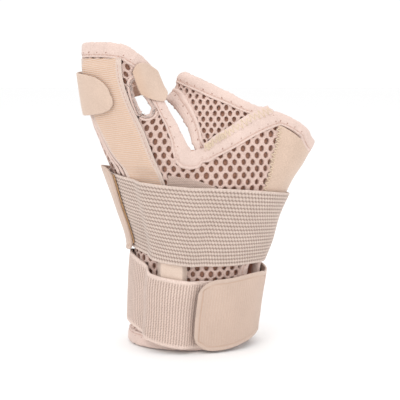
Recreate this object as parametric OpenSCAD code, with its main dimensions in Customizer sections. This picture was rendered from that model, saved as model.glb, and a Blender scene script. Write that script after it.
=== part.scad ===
// Thumb and wrist splint: a honeycomb-mesh sleeve with bound edges, two aluminium stays in
// pockets, and three hook-and-loop straps whose end tabs peel open.
// Millimetres. +Z runs from the forearm to the fingers, the thumb lies towards -X and the
// viewer towards -Y. The origin is the centre of the forearm opening, in the hem's plane.

/* [Fabric] */
// Thickness of the honeycomb spacer mesh
mesh_t = 2.4; // [1.5:0.1:2.6]
// Thickness of the brushed lining inside the mesh
lining_t = 0.7; // [0.4:0.1:0.8]
// Width of the edge binding tape
tape_w = 8.5; // [6:0.5:9]

/* [Stays] */
// Width of the wrist stay
wrist_stay_w = 12; // [8:1:12]
// Length of the wrist stay
wrist_stay_l = 72; // [50:1:74]
// Thickness of both aluminium stays
stay_t = 1.4; // [1:0.1:1.6]

/* [Straps] */
// Thickness of the elastic webbing
webbing_t = 1.5; // [1:0.1:1.6]
// Thickness of the hook pads
hook_t = 0.6; // [0.4:0.1:0.7]
// Thickness of the end tabs
tab_t = 1.3; // [1:0.1:1.6]

/* [Hidden] */

skin = [0.90, 0.79, 0.73];
cream = [0.91, 0.82, 0.73];
knit = [0.80, 0.71, 0.66];
mesh_pink = [0.82, 0.72, 0.68];
inner_tan = [0.66, 0.50, 0.42];
alloy = [0.78, 0.79, 0.80];

// Layers, as distances outward from the sleeve's outer surface.
gap = 0.25;
lining_out = -mesh_t - gap;
tape_in = lining_out - lining_t - 0.2;
tape_out = 0.7;
strap_in = 1.2;
over_strap = strap_in + webbing_t + 0.6;
tab_in = over_strap + hook_t + 0.3;

// Where the sleeve forks into the thumb flap and the hand tube.
fork_z = 112;
// Seam between the palm and the dorsal sheet, as an angle round the tube.
back_seam = 150;
// Angles of the slit's two edges, and its top.
slit_front = 323;
slit_back = 345;
slit_top = 66;
hem_h = 8.5;
step_deg = 8;

// ---- Outline tables: [height, value] ----
trunk_left = [[0, -38], [15, -36.8], [35, -36.2], [55, -34.5], [64, -34.2], [75, -37],
    [88, -41], [98, -44.5], [112, -49.5]];
trunk_right = [[0, 38], [20, 40], [40, 43.2], [50, 44.5], [57, 47], [65, 50], [72, 52],
    [82, 55], [93, 59.5], [102, 64], [112, 70.5]];
trunk_depth = [[0, 28.2], [60, 28.8], [85, 30.5], [100, 31.2], [112, 30.5]];
thumb_left = [[112, -49.5], [120, -52.8], [130, -56], [140, -59], [150, -61.3],
    [160, -62.8], [172, -63.5], [190, -63]];
thumb_right = [[112, 70.5], [118, 54], [125, 38], [140, 10], [150, -4], [158, -12],
    [166, -16], [176, -20], [190, -24]];
thumb_depth = [[112, 30.5], [125, 26.5], [140, 21.5], [155, 18], [170, 16.5], [190, 16]];
thumb_mid = [[112, 0], [130, -3], [150, -6], [190, -8]];
hand_left = [[112, -49.5], [120, -39], [130, -28], [140, -21], [148, -17.5], [152, -15.5],
    [155, -11], [160, -8.3], [165, -6.6], [172, -3]];
hand_right = [[112, 70.5], [120, 74.5], [128, 77.6], [140, 78.5], [172, 79]];
hand_depth = [[112, 30.5], [125, 27.5], [140, 24], [155, 21], [172, 17]];
hand_mid = [[112, 0], [125, 1.5], [140, 4], [155, 8], [172, 11]];

// ---- Smooth curves through a table ----
function clamp(v, lo, hi) = min(max(v, lo), hi);
function mix(a, b, t) = a + (b - a) * t;
function smooth(lo, hi, v) = let (t = clamp((v - lo) / (hi - lo), 0, 1)) t * t * (3 - 2 * t);
function row_of(t, x, i = 0) = (i >= len(t) - 2 || x < t[i + 1][0]) ? i : row_of(t, x, i + 1);
function slope(t, i) = let (a = max(i - 1, 0), b = min(i + 1, len(t) - 1))
    (t[b][1] - t[a][1]) / (t[b][0] - t[a][0]);
function curve(t, x) = let (k = clamp(x, t[0][0], t[len(t) - 1][0]), i = row_of(t, k),
    h = t[i + 1][0] - t[i][0], s = (k - t[i][0]) / h)
    t[i][1] * (1 + 2 * s) * (1 - s) * (1 - s) + slope(t, i) * h * s * (1 - s) * (1 - s)
    + t[i + 1][1] * s * s * (3 - 2 * s) - slope(t, i + 1) * h * s * s * (1 - s);

// ---- The sleeve's surface ----
// fork is 0 on the thumb flap and 1 on the hand tube; below fork_z they are one tube.
// A section is [centre x, centre y, half width, half depth].
function section_of(l, r, d, m) = [(l + r) / 2, m, (r - l) / 2, d];
function section(fork, z) = z <= fork_z
    ? section_of(curve(trunk_left, z), curve(trunk_right, z), curve(trunk_depth, z), 0)
    : mix(section_of(curve(thumb_left, z), curve(thumb_right, z), curve(thumb_depth, z),
            curve(thumb_mid, z)),
        section_of(curve(hand_left, z), curve(hand_right, z), curve(hand_depth, z),
            curve(hand_mid, z)), fork);
// A point at an angle round the tube (0 is +X, 90 the back, 180 the thumb side, 270 the front).
function at(fork, deg, z, off = 0) = let (s = section(fork, z))
    [s[0] + (s[2] + off) * cos(deg), s[1] + (s[3] + off) * sin(deg), z];
// The front or back angle of a given x.
function front_deg(fork, x, z) = let (s = section(fork, z)) 360 - acos(clamp((x - s[0]) / s[2], -1, 1));
function back_deg(fork, x, z) = 360 - front_deg(fork, x, z);
function front(fork, x, z) = [fork, front_deg(fork, x, z), z];
function back(fork, x, z) = [fork, back_deg(fork, x, z), z];

// ---- Patches: a sheet with thickness, from f(u, v, side) with side 0 inside and 1 outside ----
function stops(a, b, step = step_deg) = concat([a],
    [for (d = [ceil((a + 2) / step) * step : step : b - 2]) d], [b]);
function split(a, b, n) = [for (i = [0 : n]) mix(a, b, i / n)];

module patch(us, vs, f) {
    nu = len(us);
    nv = len(vs);
    function id(o, j, i) = (o * nv + j) * nu + i;
    function quad(a, b, c, d) = [[a, d, c], [a, c, b]];
    points = [for (o = [0, 1]) for (v = vs) for (u = us) f(u, v, o)];
    faces = [
        for (j = [0 : nv - 2]) for (i = [0 : nu - 2])
            each quad(id(1, j, i), id(1, j, i + 1), id(1, j + 1, i + 1), id(1, j + 1, i)),
        for (j = [0 : nv - 2]) for (i = [0 : nu - 2])
            each quad(id(0, j + 1, i), id(0, j + 1, i + 1), id(0, j, i + 1), id(0, j, i)),
        for (i = [0 : nu - 2]) each quad(id(0, 0, i), id(0, 0, i + 1), id(1, 0, i + 1), id(1, 0, i)),
        for (i = [0 : nu - 2])
            each quad(id(1, nv - 1, i), id(1, nv - 1, i + 1), id(0, nv - 1, i + 1), id(0, nv - 1, i)),
        for (j = [0 : nv - 2]) each quad(id(0, j + 1, 0), id(0, j, 0), id(1, j, 0), id(1, j + 1, 0)),
        for (j = [0 : nv - 2])
            each quad(id(1, j + 1, nu - 1), id(1, j, nu - 1), id(0, j, nu - 1), id(0, j + 1, nu - 1)),
    ];
    polyhedron(points, faces, convexity = 8);
}

// A sheet on the tube between two angles (numbers or functions of height) and two heights.
module sheet(fork, deg0, deg1, zs, lo, hi, cols) {
    patch(split(0, 1, cols), zs, function(u, v, o)
        at(fork, mix(deg0(v), deg1(v), u), v, o == 0 ? lo : hi));
}

// A band round the tube with bottom and top edges that are functions of the angle.
module band(fork, degs, bottom, top, inner, thick, rows = 3) {
    patch(degs, split(0, 1, rows), function(u, v, o)
        at(fork, u, mix(bottom(u), top(u), v), inner(u) + (o == 0 ? 0 : thick)));
}

// A tape along a path of [fork, angle, height] points, lying on the surface to the path's left.
function path_at(path, t) = let (i = clamp(floor(t), 0, len(path) - 2), s = t - i,
    a = path[max(i - 1, 0)], b = path[i], c = path[i + 1], d = path[min(i + 2, len(path) - 1)])
    b + 0.5 * s * (c - a + s * (2 * a - 5 * b + 4 * c - d + s * (3 * (b - c) + d - a)));
function unit(v) = v / norm(v);
function onto(fork, q, off) = let (s = section(fork, q[2]))
    at(fork, atan2((q[1] - s[1]) / s[3], (q[0] - s[0]) / s[2]), q[2], off);
function beside(path, t, w, off) = let (e = 0.04, last = len(path) - 1,
    g = path_at(path, t), p = at(g[0], g[1], g[2]),
    g0 = path_at(path, clamp(t - e, 0, last - e)), g1 = path_at(path, clamp(t + e, e, last)),
    along = unit(at(g1[0], g1[1], g1[2]) - at(g0[0], g0[1], g0[2])),
    out = unit(at(g[0], g[1], g[2], 1) - p))
    onto(g[0], p + w * cross(out, along), off);
// narrow is a table of [path parameter, share of the width].
module tape(path, w, lo, hi, narrow = [[0, 1]]) {
    patch(split(0, len(path) - 1, 2 * len(path) - 2), [0, 1], function(u, v, o)
        beside(path, u, v * w * lookup(u, narrow), o == 0 ? lo : hi));
}
// The room that a tape needs, as a row of blocks with clearance at its inner edge and past its fold.
module tape_room(path, w, past = 0.8) {
    for (i = [0 : 2 * len(path) - 3])
        hull() patch([i / 2 - 0.03, i / 2 + 0.53], [0, 1], function(u, v, o)
            beside(path, u, mix(-past * sign(w), w + 0.3 * sign(w), v),
                o == 0 ? tape_in - 0.6 : tape_out + 0.6));
}

// ---- Edge lines ----
// The thumb flap's free edge from its back, over its top and down the V notch.
thumb_edge = [[0, 150, 104], [0, 150, 115], [0, 150, 130], [0, 150, 145], [0, 150, 160],
    [0, 151, 170], [0, 156, 178.5], [0, 166, 184], [0, 178, 186], [0, 195, 186.2],
    [0, 220, 186.3], [0, 245, 186.3], front(0, -46.5, 186), front(0, -37.4, 184.6),
    front(0, -31.5, 181.3), front(0, -25.6, 176.6), front(0, -21.5, 171.9),
    front(0, -19.1, 167.2), front(0, -17.5, 162.5), front(0, -16.7, 157.5),
    front(0, -14.5, 153), front(0, -11, 146.6), front(0, -7.4, 140.2),
    front(0, -4.2, 133), front(0.1, -1.2, 127)];
notch = [front(0.3, 0.8, 123.8), front(0.5, 2.4, 122.6), front(0.7, 4.4, 123)];
seam_line = [front(1, 8, 124.2), front(1, 13, 126.4), front(1, 18.5, 129.2), front(1, 25.5, 133.2),
    front(1, 34.6, 138.8), front(1, 43, 143), front(1, 50, 145.4)];
rim_right = [front(1, 55, 144.9), front(1, 60, 143), front(1, 66, 139.9), front(1, 73, 134.4),
    [1, 342, 129.5], [1, 358, 127.2], [1, 375, 127.5]];
rim_back = [[1, 390, 129.5], [1, 410, 134], [1, 430, 139.5], [1, 450, 145.5], [1, 470, 151.5],
    [1, 490, 157], [1, 508, 161]];
// The web bridge's own two edges: its rim at the fingers and its concave edge at the thumb hole.
web_rim = [front(1, 51.6, 146.8), front(1, 43, 148.2), front(1, 32, 152.3), front(1, 21, 157.8),
    front(1, 10, 163), front(1, 2, 166.2), [1, 196, 168.2], [1, 176, 168], [1, 160, 165.6],
    [1, 151, 163.4]];
web_hole = [[1, 152, 150], [1, 168, 152], [1, 184, 152.6], front(1, -13.6, 151.8),
    front(1, -10.2, 148.8), front(1, -6.8, 145.2), front(1, -3.9, 141.3),
    front(1, -1.4, 137), front(1, 0.5, 132), front(1, 2, 126.4)];
// The dorsal sheet's edge round the back of the thumb hole.
dorsal_hole = [[0, 150, 101], back(1, -31, 104), back(1, -17, 107.5), back(1, -3, 113),
    back(1, 6, 121), back(1, 9, 130), back(1, 6, 139), back(1, 1, 145), [1, 150, 150]];

// The slit's bound edge, up its front side, round its top and down its back side.
slit_side = [hem_h + 0.3, 20, 32, 44, 54];
slit_line = concat([for (z = slit_side) [0, slit_front, z]], [[0, 325, 61], [0, 330, 65], [0, 334, slit_top],
    [0, 338, 65], [0, 343, 61]], [for (i = [len(slit_side) - 1 : -1 : 0]) [0, slit_back, slit_side[i]]]);
rim_line = concat(thumb_edge, notch, seam_line, rim_right, rim_back);

// Widths of the narrower tapes.
web_tape_w = 6.2;
hole_tape_w = tape_w - 2.5;
slit_tape_w = 6;

// ---- Sleeve ----
ulnar_front = [[70, 313], [99, 313], [110, 311], [123, 304.5], [140, 300]];
ulnar_back = 40;
function ulnar_edge(z) = curve(ulnar_front, z);
// The thumb flap's right edge inside its tape, as x at a height.
flap_edge = [[112, -4.6], [116.8, -7.2], [123.6, -10.2], [129.2, -13], [135.1, -14.9],
    [140.7, -17.2], [146.2, -19.6], [151.5, -22.2], [157, -25], [163, -26.4], [168, -28.2],
    [173, -33], [177.4, -40]];
// The palm sheet's top edge below its tape, as a height at x.
palm_top = [[-5, 113.2], [3, 113.4], [9.2, 113.8], [15, 117.3], [21.3, 120.4], [29.6, 125.4], [36.6, 130.2],
    [43.6, 134.6], [48, 136], [55, 135]];
// The same below the rim's tape, as a height at an angle.
ulnar_top = [[296, 135.5], [305, 132.5], [315, 128.4], [328, 122.8], [342, 119.8], [358, 118],
    [375, 118.6], [390, 120.8], [401, 123]];

module palm_layers(lo, hi) {
    union() {
        sheet(0, function(z) back_seam + 0.4, function(z) min(312.4, ulnar_edge(z) - 0.6),
            [hem_h + 0.3, 20, 35, 50, 60, 68, 76, 86, 98, fork_z], lo, hi, 20);
        difference() {
            sheet(0, function(z) 161, function(z) front_deg(0, curve(flap_edge, z), z),
                [fork_z, 118, 124, 130, 136, 142, 148, 154, 160, 166, 172, 177], lo, hi, 14);
            slot_cutter(slot_tape + 0.3);
        }
        patch([-5, 2, 9.2, 12, 15, 19, 24, 29.6, 36.6, 43.6, 48, 52], [0, 0.5, 1], function(u, v, o)
            let (z = mix(fork_z - 0.5, curve(palm_top, u), v),
                d = u == 52 ? ulnar_edge(z) - 0.5 : front_deg(1, u, z))
            at(1, d, z, o == 0 ? lo : hi));
    }
}
module palm_panel(lo, hi) {
    difference() {
        palm_layers(lo, hi);
        tape_room(rim_line, -tape_w);
        tape_room(slit_line, slit_tape_w);
    }
}
module palm_mesh() { color(mesh_pink) palm_panel(-mesh_t, 0); }
module palm_lining() { color(inner_tan) palm_panel(lining_out - lining_t, lining_out); }

// The dorsal sheet above the fork, between the ulnar panel and the thumb hole's tape.
dorsal_left = [[112, 115], [116, 106], [121, 98], [130, 94], [139, 97.5], [146, 107],
    [150, 118], [153, 141], [156, 148]];
dorsal_rim = [[40, 123], [50, 125.4], [70, 131], [90, 137], [110, 143], [130, 148.6], [148, 152.6]];
module dorsal_layers(lo, hi) {
    union() {
        sheet(0, function(z) -5.4, function(z) back_seam - 0.4,
            [hem_h + 0.3, 20, 35, 50, 62, 73], lo, hi, 18);
        sheet(0, function(z) ulnar_back + 0.5, function(z) mix(back_seam - 0.4, 122, smooth(92, 112, z)),
            [73, 82, 92, 98, 104, fork_z], lo, hi, 14);
        patch(split(0, 1, 12), split(0, 1, 5), function(u, v, o)
            let (d0 = mix(40.5, 121, u), z1 = curve(dorsal_rim, mix(40.5, 146, u)),
                z = mix(fork_z, z1, v), d = mix(40.5, min(122, curve(dorsal_left, z)), u))
            at(1, d, z, o == 0 ? lo : hi));
    }
}
module dorsal_panel(lo, hi) {
    difference() {
        dorsal_layers(lo, hi);
        tape_room(rim_line, -tape_w);
        tape_room(dorsal_hole, hole_tape_w, 7);
        tape_room(slit_line, slit_tape_w);
    }
}
module dorsal_mesh() { color(mesh_pink) dorsal_panel(-mesh_t, 0); }
module dorsal_lining() { color(inner_tan) dorsal_panel(lining_out - lining_t, lining_out); }

// The smooth loop-fabric panel round the little-finger side, from above the slit to the rim.
module ulnar_panel() {
    color(cream) patch(split(0, 1, 12), split(0, 1, 8), function(u, v, o)
        let (z1 = curve(ulnar_top, mix(302, 400, u)), z = mix(slit_top + 8, z1, v))
        at(1, mix(ulnar_edge(z), 360 + ulnar_back, u), z, o == 0 ? -mesh_t - gap - lining_t : 0.2));
}

// The mesh triangle that spans from the palm over the thumb web to the back.
// Columns from the thumb side to the palm: where, its foot and its top.
web_cols = [[-6.4, 154.4, 161.2], [-1.9, 150, 160.6], [1.4, 145.6, 159.6], [4.4, 140.5, 158.3],
    [6.8, 133.8, 157.2], [8.4, 128, 156.5], [13, 127.1, 154.4], [18.5, 129.9, 151.7],
    [25.5, 133.9, 148.2], [31, 137.3, 145.7], [36, 140.3, 143.8]];
module web_panel(lo, hi) {
    difference() {
        patch([for (i = [0 : len(web_cols) - 1]) i], split(0, 1, 3), function(u, v, o)
            let (c = web_cols[u], z = mix(c[1], c[2], v)) at(1, front_deg(1, c[0], z), z, o == 0 ? lo : hi));
        tape_room(web_rim, web_tape_w);
        tape_room(web_hole, web_tape_w);
    }
}
module web_bridge() { color(mesh_pink) web_panel(-mesh_t, 0); }
module web_bridge_lining() { color(inner_tan) web_panel(lining_out - lining_t - 0.15, lining_out - 0.15); }

// ---- Bindings ----
module edge_binding() { color(skin) tape(rim_line, -tape_w, tape_in, tape_out); }
module web_rim_binding() {
    color(skin) tape(web_rim, web_tape_w, tape_in, tape_out, [[0, 0.14], [1, 0.55], [2, 1], [6, 1], [7, 1.4],
        [8, 1.35], [9, 1]]);
}
module web_hole_binding() {
    color(skin) tape(web_hole, web_tape_w, tape_in, tape_out, [[8, 1], [9, 0.3]]);
}
module dorsal_hole_binding() {
    color(skin) tape(dorsal_hole, hole_tape_w, tape_in, tape_out, [[0, 0.5], [1, 1], [6, 1], [7, 0.6],
        [8, 0.3]]);
}
module slit_binding() { color(skin) tape(slit_line, slit_tape_w, tape_in, tape_out); }
module hem_binding() {
    degs = stops(slit_back - 360, slit_front, 6);
    function ring(off) = [for (d = degs) let (p = at(0, d, hem_h / 2, off)) [p[0], p[1]]];
    color(skin) linear_extrude(height = hem_h)
        polygon(concat(ring(tape_out), [for (i = [len(degs) - 1 : -1 : 0]) ring(tape_in)[i]]));
}
// The zigzag-sewn elastic tape over the joint of the web bridge and the palm's bound edge.
module web_seam_tape() {
    color(cream) tape(concat([front(1, 10.4, 121.9), front(1, 13.6, 123.5)],
        [for (p = [for (i = [2 : 6]) seam_line[i]]) [p[0], p[1] + 1.6, p[2] - 1.7]]), 6, tape_out + gap,
        tape_out + gap + 0.5);
}

// ---- Slot in the thumb flap ----
// A teardrop: [x, height, radius] of its narrow top and its wide foot.
slot_ends = [[-30.4, 161.5, 2.5], [-25, 147.5, 3.8]];
slot_tape = 3.2;
module slot_cutter(grow) {
    rotate([90, 0, 0]) linear_extrude(height = 60) hull()
        for (e = slot_ends) translate([e[0], e[1]]) circle(e[2] + grow, $fn = 24);
}
module slot_binding() {
    color(skin) difference() {
        intersection() {
            sheet(0, function(z) front_deg(0, -45, z), function(z) front_deg(0, curve(flap_edge, z), z),
                [138, 143, 148, 153, 158, 163, 168, 173], tape_in, tape_out, 8);
            slot_cutter(slot_tape);
        }
        slot_cutter(0);
    }
}

// ---- Pockets and stays ----
pocket_left = [[99, 221], [104, 217], [112, 214], [124, 210], [139, 207], [150, 202], [160, 196],
    [177, 194]];
pocket_right = [[99, -14.5], [103, -15.8], [117.8, -20.8], [130.6, -25.8], [143, -31.6], [150.5, -34.8],
    [158, -37.6], [164.4, -39.6], [172, -41.4], [177, -42]];
function pocket_lift(z) = smooth(107, 114, z) * (1 - smooth(172, 176.6, z));
function pocket_deg(u, z) = mix(curve(pocket_left, z), front_deg(0, curve(pocket_right, z), z), u);
function pocket_off(u, z) = gap + (stay_t + 0.6) * pocket_lift(z)
    * smooth(0.03, 0.2, u) * (1 - smooth(0.8, 0.97, u));
module thumb_pocket() {
    color(cream) patch([0, 0.05, 0.12, 0.2, 0.35, 0.5, 0.65, 0.8, 0.88, 0.95, 1],
        [100, 104, 108, 111, 114, 121, 130, 139, 148, 157, 166, 172, 174.5, 176.8],
        function(u, v, o) at(0, pocket_deg(u, v), v, pocket_off(u, v) + (o == 0 ? 0 : 0.7)));
}
module thumb_stay() {
    color(alloy) patch(split(0.25, 0.75, 5), [116, 123, 130, 139, 148, 157, 164, 170],
        function(u, v, o) at(0, pocket_deg(mix(0.5, u, v == 116 || v == 170 ? 0.6 : 1), v), v,
            gap + 0.3 + (o == 0 ? 0 : stay_t)));
}

// The wrist stay is flat. Its frame is turned to face along the sleeve's surface and leans out upwards.
stay_x = -9.5;
stay_y = -29.2;
stay_turn = -15.5;
stay_lean = 1.4;
stay_bottom = 12;
pocket_bottom = hem_h + 1;
pocket_top = stay_bottom + wrist_stay_l + 2;
pocket_half = 9.2;
pocket_base = 0.5;
module wrist_frame() {
    translate([stay_x, stay_y, stay_bottom]) rotate([0, 0, stay_turn]) rotate([stay_lean, 0, 0]) children();
}
function in_wrist_frame(s, n, z) = let (m = n - (z - stay_bottom) * tan(stay_lean))
    [stay_x + s * cos(stay_turn) - m * sin(stay_turn), stay_y + s * sin(stay_turn) + m * cos(stay_turn)];
module wrist_pocket() {
    front_n = -(stay_t / 2 + 0.95);
    lift = [[-1, 0], [-0.96, 0.1], [-0.78, 0.95], [-0.6, 1], [0.6, 1], [0.78, 0.95], [0.96, 0.1], [1, 0]];
    color(cream) difference() {
        patch([for (r = lift) r[0]], [pocket_bottom, 22, 34, 46, 58, 68, 78, pocket_top],
            function(u, v, o) let (flat_p = in_wrist_frame(u * pocket_half, 0, v),
                d = front_deg(0, flat_p[0], v), base = at(0, d, v, pocket_base),
                edge = at(0, d, v, pocket_base + 0.7), top = in_wrist_frame(u * pocket_half, front_n, v),
                k = lookup(u, lift))
                o == 0 ? base : [mix(edge[0], top[0], k), mix(edge[1], top[1], k), v]);
        wrist_frame() translate([-wrist_stay_w / 2 - 0.4, -stay_t / 2 - 0.35, -0.6])
            cube([wrist_stay_w + 0.8, stay_t + 0.7, wrist_stay_l + 10]);
    }
}
module wrist_stay() {
    r = 4;
    color(alloy) wrist_frame() translate([0, stay_t / 2, 0]) rotate([90, 0, 0])
        linear_extrude(height = stay_t) union() {
            translate([-wrist_stay_w / 2, r]) square([wrist_stay_w, wrist_stay_l - 2 * r]);
            translate([-wrist_stay_w / 2 + r, 0]) square([wrist_stay_w - 2 * r, wrist_stay_l]);
            for (x = [-1, 1]) for (z = [r, wrist_stay_l - r])
                translate([x * (wrist_stay_w / 2 - r), z]) circle(r, $fn = 32);
        }
}

// ---- Straps ----
// Height taken off a rounded end, d millimetres from that end.
function rounding(d, r) = d >= r ? 0 : r - sqrt(max(0, r * r - (r - d) * (r - d)));
// How far a strap rises over the wrist pocket.
function pocket_bulge(deg) = 4.7 * smooth(222, 234, deg) * (1 - smooth(263, 277, deg));

// Thumb strap: out of the slot, over the flap's edge, round the back to the thumb side.
thumb_hinge = 172;
thumb_low = [[288, 156], [298, 153], [312, 152], [324, 155], [336, 158.3], [360, 159],
    [400, 157.5], [450, 153], [500, 147], [531, 143.4]];
thumb_high = [[288, 169], [298, 174], [312, 175.4], [330, 173.6], [350, 171.8], [400, 170.5],
    [450, 170], [500, 169.5], [531, 169]];
thumb_ramp = [[288, 1.15], [326, 1.2], [342, 0.3], [360, -2.2], [385, -2.2], [420, 0], [450, 1.2], [500, 1.6],
    [531, 2.9]];
module thumb_strap() {
    color(cream) band(0, concat(stops(288, 360 + thumb_hinge - 1.4)),
        function(d) curve(thumb_low, d), function(d) curve(thumb_high, d),
        function(d) curve(thumb_ramp, d), 1.1);
}
thumb_tab_end = 252;
thumb_tab_low = [[172, 143.4], [190, 143], [215, 143.6], [235, 145], [252, 146.5]];
thumb_tab_high = [[172, 169], [190, 168.6], [215, 167.8], [235, 166.4], [252, 165]];
function thumb_tab_r(d) = rounding((thumb_tab_end - d) * 0.36, 9.5);
function thumb_tab_off(d) = 2.9 + 1.4 * smooth(182, 206, d);
module thumb_tab() {
    color(cream) band(0, concat(split(thumb_hinge + 1.4, 218, 6), [224, 231, 237, 242, 246, 249.4, 251.4]),
        function(d) curve(thumb_tab_low, d) + thumb_tab_r(d),
        function(d) curve(thumb_tab_high, d) - thumb_tab_r(d),
        function(d) thumb_tab_off(d), 1.1, 4);
}
module thumb_hook_pad() {
    color(cream) band(0, split(206, 238, 5),
        function(d) curve(thumb_tab_low, d) + 2.6 + 0.6 * thumb_tab_r(d),
        function(d) curve(thumb_tab_high, d) - 2.6 - 0.6 * thumb_tab_r(d),
        function(d) 3.45, 0.55, 2);
}

// Wide strap: from the thumb side across the palm and round the back.
wide_start = 172;
wide_hinge = 150;
wide_low = [[172, 63], [200, 61.5], [222, 59], [240, 56], [258, 54.4], [280, 53.4], [300, 53],
    [320, 53], [340, 52.4], [360, 51.5], [400, 50], [450, 50], [480, 53], [510, 58.5]];
wide_high = [[172, 109], [190, 108.5], [205, 107.3], [225, 105], [250, 103], [275, 101.3],
    [295, 99.8], [318, 97.6], [345, 95], [360, 94], [400, 94.5], [450, 98.5], [480, 103.5], [510, 108.5]];
function wide_off(d) = strap_in + pocket_bulge(d) + 2.8 * smooth(450, 505, d);
module wide_strap() {
    color(knit) band(0, stops(wide_start, 360 + wide_hinge - 1.2, 6),
        function(d) curve(wide_low, d), function(d) curve(wide_high, d), function(d) wide_off(d), webbing_t);
}
wide_tab_end = 204;
wide_tab_low = [[150, 58.5], [172, 59], [204, 60.5]];
wide_tab_high = [[150, 108.5], [172, 111], [190, 112], [204, 111]];
function wide_tab_r(d) = rounding((wide_tab_end - d) * 0.85, 5);
function wide_tab_off(d) = mix(strap_in + 2.8, tab_in, smooth(152, 166, d));
module wide_tab() {
    color(cream) band(0, concat(split(wide_hinge + 1.2, 194, 6), [198, 201, 203, 203.8]),
        function(d) curve(wide_tab_low, d) + wide_tab_r(d),
        function(d) curve(wide_tab_high, d) - wide_tab_r(d),
        function(d) wide_tab_off(d), tab_t);
}
module wide_hook_pad() {
    color(cream) band(0, split(176, 201, 5), function(d) curve(wide_tab_low, d) + 5,
        function(d) curve(wide_tab_high, d) - 5, function(d) over_strap, hook_t, 6);
}

// Wrist strap: from the slit's front edge round the thumb side and the back to the slit's other side.
wrist_start = 318;
wrist_hinge = 346;
wrist_low = [[-14, 7], [30, 9], [90, 14], [150, 16], [185, 14.6], [213, 12], [236, 7.3],
    [252, 4.6], [270, 3], [290, 2.4], [318, 2.4]];
wrist_high = [[-14, 46], [30, 49.4], [90, 49.6], [150, 55], [182, 58.6], [215, 54.6],
    [236, 48.5], [262, 45.5], [281, 44.5], [300, 45], [318, 45.6]];
function wrist_off(d) = strap_in + pocket_bulge(d) + 2.8 * (1 - smooth(-10, 42, d));
module wrist_strap() {
    color(knit) band(0, stops(wrist_hinge - 360 + 1.2, wrist_start, 6),
        function(d) curve(wrist_low, d), function(d) curve(wrist_high, d),
        function(d) wrist_off(d), webbing_t);
}
wrist_tab_end = 273;
wrist_tab_low = [[273, 3], [290, 1.6], [305, 2], [325, 4.6], [346, 7]];
wrist_tab_high = [[273, 45.4], [295, 46], [317, 47.6], [335, 47.4], [346, 46]];
function wrist_tab_r(d) = rounding((d - wrist_tab_end) * 0.6, 9);
function wrist_tab_off(d) = mix(tab_in + 0.3, strap_in + 2.8, smooth(326, 343, d))
    + 1.6 * (1 - smooth(270, 284, d));
module wrist_tab() {
    color(cream) band(0, concat([273.4, 275, 277.5, 281, 285, 289], split(294, wrist_hinge - 1.2, 7)),
        function(d) curve(wrist_tab_low, d) + wrist_tab_r(d),
        function(d) curve(wrist_tab_high, d) - wrist_tab_r(d),
        function(d) wrist_tab_off(d), tab_t, 4);
}
module wrist_hook_pad() {
    color(cream) band(0, split(285, 315, 5), function(d) curve(wrist_tab_low, d) + 4,
        function(d) curve(wrist_tab_high, d) - 4, function(d) over_strap + 0.15, hook_t, 3);
}

palm_mesh();
palm_lining();
dorsal_mesh();
dorsal_lining();
ulnar_panel();
web_bridge();
web_bridge_lining();
edge_binding();
web_rim_binding();
web_hole_binding();
dorsal_hole_binding();
slot_binding();
slit_binding();
hem_binding();
web_seam_tape();
thumb_pocket();
thumb_stay();
wrist_pocket();
wrist_stay();
thumb_strap();
thumb_tab();
thumb_hook_pad();
wide_strap();
wide_tab();
wide_hook_pad();
wrist_strap();
wrist_tab();
wrist_hook_pad();
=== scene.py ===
import math

import bmesh
import bpy
import numpy as np
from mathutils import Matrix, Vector


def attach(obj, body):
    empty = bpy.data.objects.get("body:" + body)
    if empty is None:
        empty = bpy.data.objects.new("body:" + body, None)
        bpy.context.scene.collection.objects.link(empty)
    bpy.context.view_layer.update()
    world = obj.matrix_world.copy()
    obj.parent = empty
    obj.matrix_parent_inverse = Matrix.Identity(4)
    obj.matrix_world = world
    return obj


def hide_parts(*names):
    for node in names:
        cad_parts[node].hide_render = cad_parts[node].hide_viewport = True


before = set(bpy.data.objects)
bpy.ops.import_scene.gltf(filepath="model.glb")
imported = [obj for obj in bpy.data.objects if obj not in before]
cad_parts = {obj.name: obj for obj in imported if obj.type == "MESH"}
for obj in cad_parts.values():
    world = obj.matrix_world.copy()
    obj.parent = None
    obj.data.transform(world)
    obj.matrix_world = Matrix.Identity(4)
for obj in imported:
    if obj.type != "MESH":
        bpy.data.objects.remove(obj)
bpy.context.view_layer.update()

MM = 0.001

# A thumb and wrist splint. Every soft piece is drawn on one surface, the sleeve's, at an offset in mm from
# it, and then draped. Most points are [fork, angle in degrees, height in mm].

# The sleeve's surface, in millimetres.
# Outline tables as in the CAD source: [height, value].
TRUNK_LEFT = [[0, -38], [15, -36.8], [35, -36.2], [55, -34.5], [64, -34.2], [75, -37], [88, -41],
              [98, -44.5], [112, -49.5]]
TRUNK_RIGHT = [[0, 38], [20, 40], [40, 43.2], [50, 44.5], [57, 47], [65, 50], [72, 52], [82, 55],
               [93, 59.5], [102, 64], [112, 70.5]]
TRUNK_DEPTH = [[0, 28.2], [60, 28.8], [85, 30.5], [100, 31.2], [112, 30.5]]
THUMB_LEFT = [[112, -49.5], [120, -52.8], [130, -56], [140, -59], [150, -61.3], [160, -62.8],
              [172, -63.5], [190, -63]]
THUMB_RIGHT = [[112, 70.5], [118, 54], [125, 38], [140, 10], [150, -4], [158, -12], [166, -16],
               [176, -20], [190, -24]]
THUMB_DEPTH = [[112, 30.5], [125, 26.5], [140, 21.5], [155, 18], [170, 16.5], [190, 16]]
THUMB_MID = [[112, 0], [130, -3], [150, -6], [190, -8]]
HAND_LEFT = [[112, -49.5], [120, -39], [130, -28], [140, -21], [148, -17.5], [152, -15.5],
             [155, -11], [160, -8.3], [165, -6.6], [172, -3]]
HAND_RIGHT = [[112, 70.5], [120, 74.5], [128, 77.6], [140, 78.5], [172, 79]]
HAND_DEPTH = [[112, 30.5], [125, 27.5], [140, 24], [155, 21], [172, 17]]
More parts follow.
